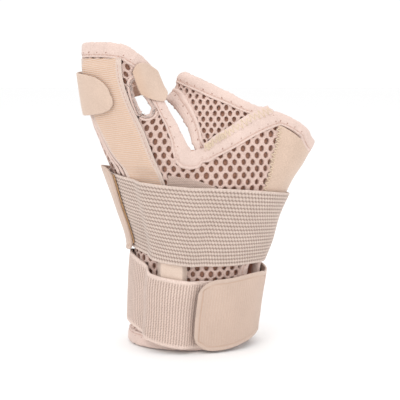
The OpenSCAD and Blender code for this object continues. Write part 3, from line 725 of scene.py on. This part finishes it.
tab_cloth = cloth("tab_fabric", (205, 183, 169), (188, 158, 138), bump=0.3)
hook_cloth = cloth("hook_pad", (208, 166, 124), (160, 116, 78), rough=0.6, sheen=0.0, bump=0.8,
                   bands=((0, 0.9, 0.9), (1, 0.9, 0.9)))
thread = cloth("stitch_thread", (212, 180, 166), (190, 150, 134), bump=0.4)
# Painted shade: a dark colour for the short dashes that stand for the shade in the bindings' needle holes.
hole_shade_paint = cloth("needle_hole_shade", (168, 128, 114), (130, 94, 82), bump=0.1)
zigzag_thread = cloth("zigzag_thread", (226, 206, 182), (176, 146, 118), bump=0.4)


# Sleeve.
SLOT = [[-30.4, 161.5, 2.5], [-25, 147.5, 3.8]]


def slot_ends():
    """The slot's two ends as flat [s, height, radius]."""
    return [[float(flap_cloth.s_of(front_deg(0, x, z), z)), z, r] for x, z, r in SLOT]


def slot_axis(s, z):
    """For flat points, the nearest points on the slot's middle line and the slot's radius there."""
    (s0, z0, r0), (s1, z1, r1) = slot_ends()
    length2 = (s1 - s0) ** 2 + (z1 - z0) ** 2
    t = np.clip(((s - s0) * (s1 - s0) + (z - z0) * (z1 - z0)) / length2, 0, 1)
    return mix(s0, s1, t), mix(z0, z1, t), mix(r0, r1, t)


def in_slot(s, z, grow):
    """Whether flat points on the flap lie in the slot grown by so many mm."""
    cs, cz, r = slot_axis(s, z)
    return np.hypot(s - cs, z - cz) < r + grow


def push_out(s, z):
    """Flat points in the slot moved to just outside it."""
    cs, cz, r = slot_axis(s, z)
    grow = np.maximum((r + BORDER_GAP) / np.maximum(np.hypot(s - cs, z - cz), 1e-6), 1)
    return cs + (s - cs) * grow, cz + (z - cz) * grow


def palm_outline():
    left = points(0, *((BACK_SEAM + 1, z) for z in (3, 60, 112, 150)))
    right = points(1, (304, 139), (308, 123), (314, 110), (316, 99), (317, 72))
    slit = points(1, (320, 66), (320, 40), (320, 3))
    hand = NOTCH[1:] + SEAM_LINE + RIM_RIGHT[:2]
    return outline((flap_cloth, left), (flap_cloth, THUMB_EDGE[5:] + NOTCH[:1]), (hand_cloth, hand),
                   (hand_cloth, right), (hand_cloth, slit))


def dorsal_outline():
    low = points(1, (-9, 3), (40, 3), (100, 3), (149, 3))
    left = points(1, (149, 40), (149, 80), (149, 101))
    top = points(1, (149, 163), *((deg - 360, z) for _, deg, z in RIM_BACK[-2::-1]))
    right = points(1, (38, 120), (38, 95), (38, 71), (0, 70), (-9, 64), (-9, 30))
    return outline(*[(back_cloth, part) for part in (low, left, DORSAL_HOLE[1:], top, right)])


def web_outline():
    return outline((hand_cloth, WEB_HOLE), (hand_cloth, SEAM_LINE), (hand_cloth, WEB_RIM))


def sleeve_panels():
    panels = (
        ("palm", ("palm_mesh", "palm_lining"), palm_surface, palm_outline(), 1.0, (1.7, 1.2)),
        ("dorsal", ("dorsal_mesh", "dorsal_lining"), back_cloth.surface, dorsal_outline(), 1.0,
         (None, None)),
        ("web", ("web_bridge", "web_bridge_lining"), hand_cloth.surface, web_outline(), 0.82,
         (None, None)))
    for key, nodes, surface, flat, scale, grow in panels:
        honeycomb(key + "_mesh_cloth", surface, flat, grow[0], scale, node=nodes[0], slot="mesh")
    for key, nodes, surface, flat, _, grow in panels:
        filled(key + "_lining_cloth", surface, flat, grow[1], node=nodes[1], slot="lining")


def loop_panel():
    def surface(u, v, off):
        top = curve(ULNAR_TOP, mix(302, 400, u)) + 4.5
        z = mix(SLIT_TOP + 6, top, v)
        return at(1, mix(curve(ULNAR_FRONT, z), ULNAR_BACK, u), z, off)

    slab("ulnar_loop_panel", surface, stops(0, 1, 62, 1.2), stops(0, 1, 55, 1.2), PANEL_IN, PANEL_OUT,
         loop_cloth, node="ulnar_panel", slot="loop_fabric")
    edge = [[1, float(curve(ULNAR_FRONT, z)), float(z)] for z in np.linspace(75, 136, 34)]
    a, b, n = zigzag_row(edge, -1.6, 1.3, 0.45, 1.5)
    threads("ulnar_edge_stitches", a, b, n, 0.3, zigzag_thread, slot="loop_fabric")


def bindings():
    rim = THUMB_EDGE + NOTCH + SEAM_LINE + RIM_RIGHT + RIM_BACK
    slit_side = [9, 20, 32, 44, 54]
    slit = points(0, *((SLIT_FRONT, z) for z in slit_side), (325, 61), (330, 65), (334, SLIT_TOP), (338, 65),
                  (343, 61), *((SLIT_BACK, z) for z in slit_side[::-1]))
    wider_notch = [[23, 1], [25, 1.25], [26, 1.42], [27, 1.3], [29, 1]]
    hem = [[0, d, 0.75] for d in np.linspace(SLIT_BACK - 360, SLIT_FRONT, 60)]
    rows, holes = [], []
    half_hole = 0.6
    for name, path, width, node, seed, sink in (
            ("rim_binding", rim, -TAPE_W, "edge_binding", 1.3, (0, 0)),
            ("web_rim_tape", WEB_RIM, WEB_TAPE_W, "web_rim_binding", 2.1, (5, 0)),
            ("web_hole_tape", WEB_HOLE + [front(1, 4.5, 121.5)], WEB_TAPE_W, "web_hole_binding", 3.4, (0, 7)),
            ("dorsal_hole_tape", DORSAL_HOLE, HOLE_TAPE_W, "dorsal_hole_binding", 4.2, (0, 6)),
            ("slit_tape", slit, SLIT_TAPE_W, "slit_binding", 5.5, (0, 0)),
            ("hem_tape", hem, TAPE_W, "hem_binding", 6.1, (0, 0))):
        wider = wider_notch if path is rim else [[0, 1]]
        tape(name, path, width, seed=seed, sink=sink, wider=wider, node=node)
        side = math.copysign(1, width)
        inner, middle = side * (abs(width) - 1.5), side * (abs(width) * 0.5)
        rows.append(stitch_row(path, inner, 0.5, 2.4, 1.7))
        # Painted shade: a short dark dash at every other zigzag point, for the shade in the needle holes.
        a, b, n = zigzag_row(path, inner, middle, 0.78, 3.0)
        along = unit(b - a)[::2]
        mid = (a + b)[::2] / 2 - 0.05 * n[::2]
        holes.append((mid - half_hole * along, mid + half_hole * along, n[::2]))
    threads("binding_stitches", *join_rows(rows), 0.24, thread, rise=0.12, slot="binding")
    threads("binding_needle_hole_shade", *join_rows(holes), 0.34, hole_shade_paint, rise=0.0, slot="binding")


def slot_loop():
    """The slot's outline as [fork, angle, height], clockwise seen from outside."""
    (x0, z0, r0), (x1, z1, r1) = SLOT
    tilt = math.atan2(z0 - z1, x0 - x1)
    loop = []
    for x, z, r, first in ((x0, z0, r0, -math.pi / 2), (x1, z1, r1, math.pi / 2)):
        for a in np.linspace(first, first + math.pi, 9):
            loop.append(front(0, x + r * math.cos(tilt + a), z + r * math.sin(tilt + a)))
    return loop


def slot_edge():
    path = slot_loop()
    tape("slot_tape", path, -SLOT_TAPE_W, step=0.6, seed=7.7, closed=True, node="slot_binding")
    a, b, n = stitch_row(path, -2.0, 0.55, 1.9, 1.3, closed=True)
    threads("slot_stitches", a, b, n, 0.2, thread, rise=0.1, slot="binding")


def web_seam():
    path = [front(1, 10.4, 121.9), front(1, 13.6, 123.5)]
    path += [[p[0], p[1] + 1.6, p[2] - 1.7] for p in SEAM_LINE[2:]]
    ends = np.linspace(0, len(path) - 1, 80)
    across = np.array([[0.3, 1.2, 3.0, 4.8, 5.7]])
    crown = beside(path, ends, across, np.array([[0.8, 1.15, 1.25, 1.15, 0.8]]))[0]
    under = beside(path, ends, across, np.array([[0.5] * 5]))[0]
    verts, faces, _ = closed_sheet(crown, under, np.ones((len(ends) - 1, across.size - 1), bool))
    faces = flip_inside_out(verts, faces)
    make("web_seam_ribbon", verts, faces, binding, node="web_seam_tape", slot="strap_fabric")
    rows = [zigzag_row(part, 0.6, 5.2, off, pitch, (0.5, 0.6))
            for part, off, pitch in ((path, 1.15, 1.5), (path[:4], 1.4, 1.1))]
    threads("web_seam_zigzag", *join_rows(rows), 0.32, zigzag_thread, rise=0.15, slot="strap_fabric")


# Pockets.
POCKET_LEFT = [[99, 221], [104, 217], [112, 214], [124, 210], [139, 207], [150, 202], [160, 196],
               [177, 194]]
POCKET_RIGHT = [[99, -12.5], [103, -13.6], [117.8, -19], [130.6, -24.4], [143, -30.4], [150.5, -33.8],
                [158, -36.6], [164.4, -38.2], [172, -39], [177, -39.2]]
STAY_T = 1.4
CLOTH_T = 0.75
POCKET_OFF = 0.25
RIB_PITCH = 1.25


def pocket_deg(share, z):
    return mix(curve(POCKET_LEFT, z), front_deg(0, curve(POCKET_RIGHT, z), z), share)


def thumb_pocket():
    def lift(u, z):
        tall, puff = plateau(z, 107, 114, 172, 176.6), plateau(u, 0.02, 0.2, 0.82, 0.97)
        lip = 0.9 * ridge(u, 0.985, 0.018) * smooth(110, 118, z) + 0.45 * ridge(u, 0.02, 0.025)
        groove = -0.35 * ridge(u, 0.93, 0.012) - 0.3 * ridge(u, 0.075, 0.012)
        corner = 0.3 * (1 - smooth(108, 116, z)) * smooth(0.7, 0.9, u)
        return POCKET_OFF - corner + (STAY_T + 0.6) * tall * puff + lip + groove

    # Painted shade: the cover is darker, as well as lower, in the valleys between the ribs.
    def ribs(s, t, u, z):
        return 1 - plateau(u, 0.08, 0.12, 0.88, 0.92) * (1 - wave(t / RIB_PITCH))

    u = np.concatenate([np.linspace(0, 0.15, 16)[:-1], np.linspace(0.15, 0.85, 24),
                        np.linspace(0.85, 1, 18)[1:]])
    slab("thumb_pocket_cover", lambda u, z, off: at(0, pocket_deg(u, z), z, off), u,
         np.linspace(100, 177.2, 250), lift, lambda u, z: lift(u, z) + CLOTH_T, pocket_cloth,
         edge=0.5, relief=ribs, depth=0.22,
         node="thumb_pocket", slot="pocket_fabric")
    for share, key in ((0.93, "right"), (0.075, "left")):
        z = np.linspace(114, 174, 50)
        path = points(0, *((float(pocket_deg(share, h)), float(h)) for h in z))
        off = float(lift(np.array(share), np.array(140.0))) + CLOTH_T
        a, b, n = stitch_row(path, 0.0, off, 2.3, 1.6)
        threads("thumb_pocket_stitches_" + key, a, b, n, 0.22, thread, rise=0.1, slot="pocket_fabric")


STAY_X, STAY_Y, STAY_BOTTOM = -9.5, -29.2, 12
STAY_TURN, STAY_LEAN = math.radians(-15.5), math.radians(1.4)
POCKET_HALF, POCKET_TOP, POCKET_BOTTOM = 9.2, 86, 9.5


def wrist_pocket():
    def place(u, z, off):
        lean = (z - STAY_BOTTOM) * math.tan(STAY_LEAN)
        x = STAY_X + u * POCKET_HALF * math.cos(STAY_TURN) + lean * math.sin(STAY_TURN)
        y = STAY_Y + u * POCKET_HALF * math.sin(STAY_TURN) - lean * math.cos(STAY_TURN)
        deg = front_deg(0, x, z)
        base = at(0, deg, z, off)
        n = -(STAY_T / 2 + 0.45) - (off - POCKET_OFF)
        top = np.stack([x - n * math.sin(STAY_TURN), y + n * math.cos(STAY_TURN), z + 0 * x], -1)
        k = (1 - smooth(0.68, 0.97, np.abs(u)))[..., None]
        return mix(base, top, k)

    slab("wrist_pocket_cover", place, np.linspace(-1, 1, 41), stops(POCKET_BOTTOM - 2, POCKET_TOP, 78, 1.5),
         POCKET_OFF, 0.9, smooth_pocket, edge=0.3, node="wrist_pocket", slot="pocket_fabric")


# Straps.
def rounding(d, r):
    """How far a corner of radius r lies in from the edge, d mm from its end."""
    d = np.clip(d, 0, r)
    return r - np.sqrt(np.clip(r * r - (r - d) ** 2, 0, None))


def bulge(deg):
    """The lift of both elastic straps over the wrist stay's pocket."""
    return 4.7 * plateau(deg, 222, 234, 263, 277)


def band(low, high, inset=lambda deg: 0):
    """The surface of a strap between two tables of edge heights, set in from both by inset(angle) mm."""
    def surface(u, v, off):
        return at(0, u, mix(curve(low, u) + inset(u), curve(high, u) - inset(u), v), off)
    return surface


def strap(name, surface, angles, rows, off, thick, cloth_used, **kw):
    """A strap of even thickness whose inner face is off(angle) mm above the sleeve."""
    slab(name, surface, angles, rows, lambda u, v: off(u), lambda u, v: off(u) + thick, cloth_used, **kw)


WIDE_LOW = [[172, 63], [200, 61.5], [222, 59], [240, 56], [258, 54.4], [280, 53.4], [300, 53], [320, 53],
            [340, 52.4], [360, 51.5], [400, 50], [450, 50], [480, 53], [510, 58.5]]
WIDE_HIGH = [[172, 109], [190, 108.5], [205, 107.3], [225, 105], [250, 103], [275, 101.3], [295, 99.8],
             [318, 97.6], [345, 95], [360, 94], [400, 94.5], [450, 98.5], [480, 103.5], [510, 108.5]]
WIDE_START, WIDE_HINGE, WIDE_END = 172, 150, 204
WIDE_TAB_LOW = [[150, 58.5], [172, 59], [204, 60.5]]
WIDE_TAB_HIGH = [[150, 108.5], [172, 111], [190, 112], [204, 111]]
STRAP_IN, WEB_T, TAB_T, HOOK_T, END_LIFT = 1.2, 1.5, 1.3, 0.6, 2.8
OVER_STRAP = STRAP_IN + WEB_T + 0.6
TAB_IN = OVER_STRAP + HOOK_T + 0.3


def wide_off(d):
    return STRAP_IN + bulge(d) + END_LIFT * smooth(450, 505, d)


def knit_wedge():
    """The grey knit backing that shows above the wide strap beside the thumb pocket."""
    high = [[-12, 108.4], [-6, 107.6], [2, 106.4], [10, 104], [17, 101.5]]

    def surface(u, v, off):
        z = mix(96, curve(high, u), v)
        return at(0, front_deg(0, u, z), z, off)

    # Painted shade: the knit is darker, as well as lower, in its hollows.
    def relief(s, t, u, v):
        return 0.55 + 0.45 * np.sin(2 * math.pi * s / 1.1) * np.sin(2 * math.pi * t / 1.3)

    slab("knit_wedge_cloth", surface, np.linspace(-12, 17, 90), stops(0, 1, 11, 0.4), -0.3, 0.5, knit_elastic,
         edge=0.4, relief=relief, depth=0.25, slot="elastic")


def roll(name, path, radius, off, seed):
    """A rolled seam allowance lying on the sleeve."""
    t, s = even_steps(path, 1.0)
    a = np.linspace(0, 2 * math.pi, 11)[:-1]
    fat = radius * (1 + 0.18 * ripple(s, seed, 7)) * np.sqrt(np.clip(np.minimum(s, s[-1] - s) / 3, 0.02, 1))
    verts, _, _ = beside(path, t, fat[:, None] * np.cos(a), off + fat[:, None] * 0.75 * np.sin(a))
    n, k = verts.shape[:2]
    uv = np.stack([np.broadcast_to(s[:, None], (n, k)), np.broadcast_to(a * radius, (n, k))], -1)
    make(name, verts.reshape(-1, 3), tube_faces(verts), binding, uv=uv.reshape(-1, 2), slot="binding")


def side_seams():
    """Two rolled seams beside the thumb pocket's left edge, closing in towards the wide strap."""
    z = np.linspace(106, 146, 9)
    for name, shift, squeeze, seed in (("outer_side_seam", -3.5, 0.0, 2.2),
                                       ("inner_side_seam", -9.0, 4.0, 4.4)):
        path = [[0, float(curve(POCKET_LEFT, h)) + shift + squeeze * (h - 106) / 40, float(h)] for h in z]
        roll(name, path, 1.05, 0.5, seed)


def back_seam():
    """The rolled seam between the palm and the dorsal sheet."""
    roll("back_side_seam", [[0, BACK_SEAM, float(h)] for h in np.linspace(7, 103, 17)], 1.3, 0.1, 3.1)


def wide_strap():
    ribs, dash = 21, 1.9

    # Painted shade: darker, as well as lower, in the valleys between the ribs and along the dashes.
    def relief(s, t, u, v):
        turns = s / dash + np.round(v * ribs) / 2
        valley = wave(v * ribs + 0.16 * np.sin(2 * math.pi * turns)) ** 1.6
        return 1 - plateau(v, 0.0, 0.035, 0.965, 1.0) * valley * (0.45 + 0.55 * wave(turns))

    deg = stops(WIDE_START, 360 + WIDE_HINGE - 0.4, 300, 0.5)
    strap("wide_elastic", band(WIDE_LOW, WIDE_HIGH), deg, stops(0, 1, 47, 0.4), wide_off,
          WEB_T + 0.15, elastic, edge=0.7, relief=relief, depth=0.55, node="wide_strap", slot="elastic")


def tab(key, low, high, round_off, angles, rows, off, thick, cloth_used, slot, pad, **kw):
    """An end tab with a rounded free end, and the hook patch under it. pad says the patch's inset from the
    tab's edges, its angles and rows, and its inner and outer offset."""
    strap(key + "_tab_flap", band(low, high, round_off), angles, rows, off, thick, cloth_used, edge=0.55,
          node=key + "_tab", slot=slot, body=key + "_tab_end", **kw)
    inset, *where = pad
    slab(key + "_hook_patch", band(low, high, inset), *where, hook_cloth, edge=0.3, node=key + "_hook_pad",
         slot="hook", body=key + "_tab_end")


def pad_edge(deg):
    """How far the two wider hook patches are set in from their tab's edges."""
    return 4


def border(s_from_end, t, height, inset):
    """1 in the middle of a tab, 0 along a stitch line inset from its edge."""
    d = np.minimum(np.minimum(t, height - t), s_from_end)
    return 1 - ridge(d, inset, 0.35)


def wide_tab():
    def off(d):
        return mix(STRAP_IN + END_LIFT, TAB_IN, smooth(152, 166, d))

    # Painted shade: darker, as well as lower, along the stitch line round the tab.
    def relief(s, t, u, v):
        return border(s[:, -1:] - s, t, t[-1:], 2.2)

    tab("wide", WIDE_TAB_LOW, WIDE_TAB_HIGH, lambda d: rounding((WIDE_END - d) * 0.85, 5),
        stops(WIDE_HINGE - 0.2, WIDE_END, 42, 0.8), stops(0, 1, 51, 0.9), off, TAB_T, tab_cloth, "tab_fabric",
        (pad_edge, stops(172, WIDE_END + 1.1, 30, 1.2), stops(0, 1, 43, 1.2), OVER_STRAP,
         OVER_STRAP + HOOK_T + 0.2), relief=relief, depth=0.5)


WRIST_START, WRIST_HINGE, WRIST_END = 318, 346, 273
WRIST_LOW = [[-14, 7], [30, 9], [90, 14], [150, 16], [185, 14.6], [213, 12], [236, 7.3], [252, 4.6],
             [270, 3], [290, 2.4], [318, 2.4]]
WRIST_HIGH = [[-14, 46], [30, 49.4], [90, 49.6], [150, 55], [182, 58.6], [215, 54.6], [236, 48.5],
              [262, 45.5], [281, 44.5], [300, 45], [318, 45.6]]
WRIST_TAB_LOW = [[273, 3], [290, 1.6], [305, 2], [325, 4.6], [346, 7]]
WRIST_TAB_HIGH = [[273, 45.4], [295, 46], [317, 47.6], [335, 47.4], [346, 46]]


def wrist_off(d):
    return STRAP_IN + bulge(d) + END_LIFT * (1 - smooth(-10, 42, d))


def wrist_strap():
    # Painted shade: darker, as well as lower, between the knit's columns and steps.
    def relief(s, t, u, v):
        middle = plateau(v, 0.03, 0.07, 0.93, 0.97)
        columns = 0.5 + 0.5 * np.cos(2 * math.pi * s / 1.7 + 0.5 * np.sin(2 * math.pi * t / 2.2))
        steps = wave(t / 1.1 + np.round(s / 1.7) / 2)
        return 1 - middle * columns ** 1.3 * (0.5 + 0.5 * steps)

    deg = stops(WRIST_HINGE - 360 + 0.4, WRIST_START, 250, 0.42)
    strap("wrist_elastic", band(WRIST_LOW, WRIST_HIGH), deg, stops(0, 1, 42, 0.55), wrist_off,
          WEB_T, knit_elastic, edge=0.7, relief=relief, depth=0.3, node="wrist_strap", slot="elastic")


def wrist_tab():
    def off(d):
        return mix(TAB_IN + 0.3, STRAP_IN + END_LIFT, smooth(326, 343, d)) + 1.6 * (1 - smooth(270, 284, d))

    # Painted shade: darker, as well as lower, along the stitch line and in the ribs inside it.
    def relief(s, t, u, v):
        stitch = border(s, t, t[-1:], 3.0)
        inner = smooth(3.4, 4.4, np.minimum(np.minimum(t, t[-1:] - t), s))
        return stitch * (1 - 0.35 * inner * wave(s / 1.6))

    tab("wrist", WRIST_TAB_LOW, WRIST_TAB_HIGH, lambda d: rounding((d - WRIST_END) * 0.6, 9),
        stops(WRIST_END, WRIST_HINGE + 0.2, 56, 0.42), stops(0, 1, 43, 0.7), off, TAB_T + 0.2, tab_cloth,
        "tab_fabric", (pad_edge, stops(285, 315, 26, 1.2), stops(0, 1, 38, 1.2), OVER_STRAP + 0.15,
                       OVER_STRAP + HOOK_T + 0.3), relief=relief, depth=0.5)


THUMB_HINGE, THUMB_END, THUMB_GAP = 172, 252, 1.4
THUMB_LOW = [[288, 156], [298, 153], [312, 152], [324, 154.6], [336, 157.6], [348, 160], [364, 160.6],
             [400, 158], [450, 153], [500, 147], [531, 143.4]]
THUMB_HIGH = [[288, 169], [298, 173.6], [310, 174.4], [320, 173], [332, 170.4], [346, 168.4], [362, 167.6],
              [400, 168.6], [450, 169.4], [500, 169.5], [531, 169]]
THUMB_RAMP = [[288, 1.15], [330, 1.2], [340, -0.2], [350, -2.4], [360, -3.6], [385, -3.4], [405, -1.4],
              [425, 0], [450, 1.2], [500, 1.6], [531, 2.9]]
THUMB_TAB_LOW = [[172, 143.4], [190, 143], [215, 143.6], [235, 145], [252, 146.5]]
THUMB_TAB_HIGH = [[172, 169], [190, 168.6], [215, 167.8], [235, 166.4], [252, 165]]


def thumb_strap():
    # Painted shadow: the strap darkens towards its shade colour near its end where it comes out of the slot;
    # the surface is not lowered there.
    def relief(s, t, u, v):
        return mix(0.55, 1.0, smooth(288, 306, u))

    deg = stops(288, 360 + THUMB_HINGE - THUMB_GAP, 110, 0.9)
    slab("thumb_strap_cloth", band(THUMB_LOW, THUMB_HIGH), deg,
         stops(0, 1, 22, 0.8), lambda u, v: curve(THUMB_RAMP, u),
         lambda u, v: curve(THUMB_RAMP, u) + 1.1 + 1.4 * np.sin(math.pi * v) * (1 - smooth(296, 326, u)),
         strap_cloth, edge=0.55, relief=relief, node="thumb_strap", slot="strap_fabric")
    root = band(THUMB_TAB_LOW, THUMB_TAB_HIGH, lambda d: 0.4)
    slab("thumb_tab_root", root, stops(THUMB_HINGE - 3, THUMB_HINGE + 3.5, 2.4, 0.4), stops(0, 1, 24, 0.8),
         1.7, 2.72, strap_cloth, edge=0.3, slot="strap_fabric")


def thumb_tab():
    def off(d):
        return 2.9 + 1.4 * smooth(182, 206, d)

    def round_off(d):
        return rounding((THUMB_END - d) * 0.36, 7.5)

    def pad_inset(d):
        return 2.6 + 0.6 * round_off(d)

    tab("thumb", THUMB_TAB_LOW, THUMB_TAB_HIGH, round_off,
        stops(THUMB_HINGE + THUMB_GAP, THUMB_END, 36, 0.7), stops(0, 1, 24, 0.8), off, 1.35, strap_cloth,
        "strap_fabric", (pad_inset, stops(206, 238, 16, 1.0), stops(0, 1, 19, 1.0), 3.45, 4.2))


for build in (sleeve_panels, loop_panel, bindings, slot_edge, web_seam, thumb_pocket, wrist_pocket,
              side_seams, back_seam, knit_wedge, wide_strap, wide_tab, wrist_strap, wrist_tab, thumb_strap,
              thumb_tab):
    build()


# Stays: the CAD solids in brushed metal.
def metal():
    m, nodes, links = new_material("brushed_aluminium")
    bsdf = nodes["Principled BSDF"]
    set_inputs(bsdf, Metallic=1.0)
    where = shader(nodes, "TexCoord")
    stretch = shader(nodes, "Mapping", Scale=(900, 900, 25))
    grain = shader(nodes, "TexNoise", Scale=1.0, Detail=3)
    tone = shader(nodes, "MixRGB", Color1=(0.62, 0.63, 0.65, 1), Color2=(0.78, 0.79, 0.8, 1))
    rough = shader(nodes, "MapRange", To_Min=0.28, To_Max=0.5)
    bump = shader(nodes, "Bump", Strength=0.1, Distance=0.0002)
    for source, target in (
            (where.outputs["Object"], stretch.inputs[0]), (stretch.outputs[0], grain.inputs["Vector"]),
            (grain.outputs["Fac"], tone.inputs[0]), (tone.outputs[0], bsdf.inputs["Base Color"]),
            (grain.outputs["Fac"], rough.inputs["Value"]),
            (rough.outputs["Result"], bsdf.inputs["Roughness"]),
            (grain.outputs["Fac"], bump.inputs["Height"]), (bump.outputs[0], bsdf.inputs["Normal"])):
        links.new(source, target)
    return m


aluminium = metal()
for stay in ("thumb_stay", "wrist_stay"):
    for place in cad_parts[stay].material_slots:
        place.material = aluminium


# Stage, light and camera.
def stage():
    size = 6.0
    corners = [(-size, -size, 0), (size, -size, 0), (size, size, 0), (-size, size, 0)]
    mesh = bpy.data.meshes.new("floor")
    mesh.from_pydata(corners, [], [(0, 1, 2, 3)])
    floor = add_object("floor", mesh)
    pale, nodes, _ = new_material("pale_floor")
    set_inputs(nodes["Principled BSDF"], Base_Color=(0.93, 0.93, 0.93, 1), Roughness=0.7)
    mesh.materials.append(pale)


MIDDLE = (0.007, 0.0, 0.0895)
LIGHT_AIM = (0.007, 0, 0.09)
# Name, place in m, size in m, power in W.
LIGHTS = (("key", (-0.7, -1.1, 1.2), 0.9, 6.2), ("fill", (1.2, -0.9, 0.6), 1.1, 2.8),
          ("top", (0.0, 0.3, 1.6), 1.2, 4.2))
SKY_STRENGTH = 1.06
CAMERA_DISTANCE, CAMERA_RISE, SENSOR_MM, LENS_MM = 0.62, math.radians(8), 36, 89.3


def lights():
    for name, place, size, power in LIGHTS:
        light = bpy.data.lights.new(name, "AREA")
        light.size, light.energy = size, power
        obj = add_object(name, light)
        obj.location = place
        obj.rotation_euler = (Vector(LIGHT_AIM) - Vector(place)).to_track_quat("-Z", "Y").to_euler()
    world = bpy.data.worlds.new("studio")
    bpy.context.scene.world = world
    world.use_nodes = True
    set_inputs(world.node_tree.nodes["Background"], Color=(1, 1, 1, 1), Strength=SKY_STRENGTH)


def camera():
    data = bpy.data.cameras.new("camera")
    data.sensor_width, data.lens = SENSOR_MM, LENS_MM
    obj = add_object("camera", data)
    obj.location = (MIDDLE[0], MIDDLE[1] - CAMERA_DISTANCE * math.cos(CAMERA_RISE),
                    MIDDLE[2] + CAMERA_DISTANCE * math.sin(CAMERA_RISE))
    obj.rotation_euler = (math.pi / 2 - CAMERA_RISE, 0, 0)
    bpy.context.scene.camera = obj


stage()
lights()
camera()
bpy.context.scene.view_settings.view_transform = "Standard"
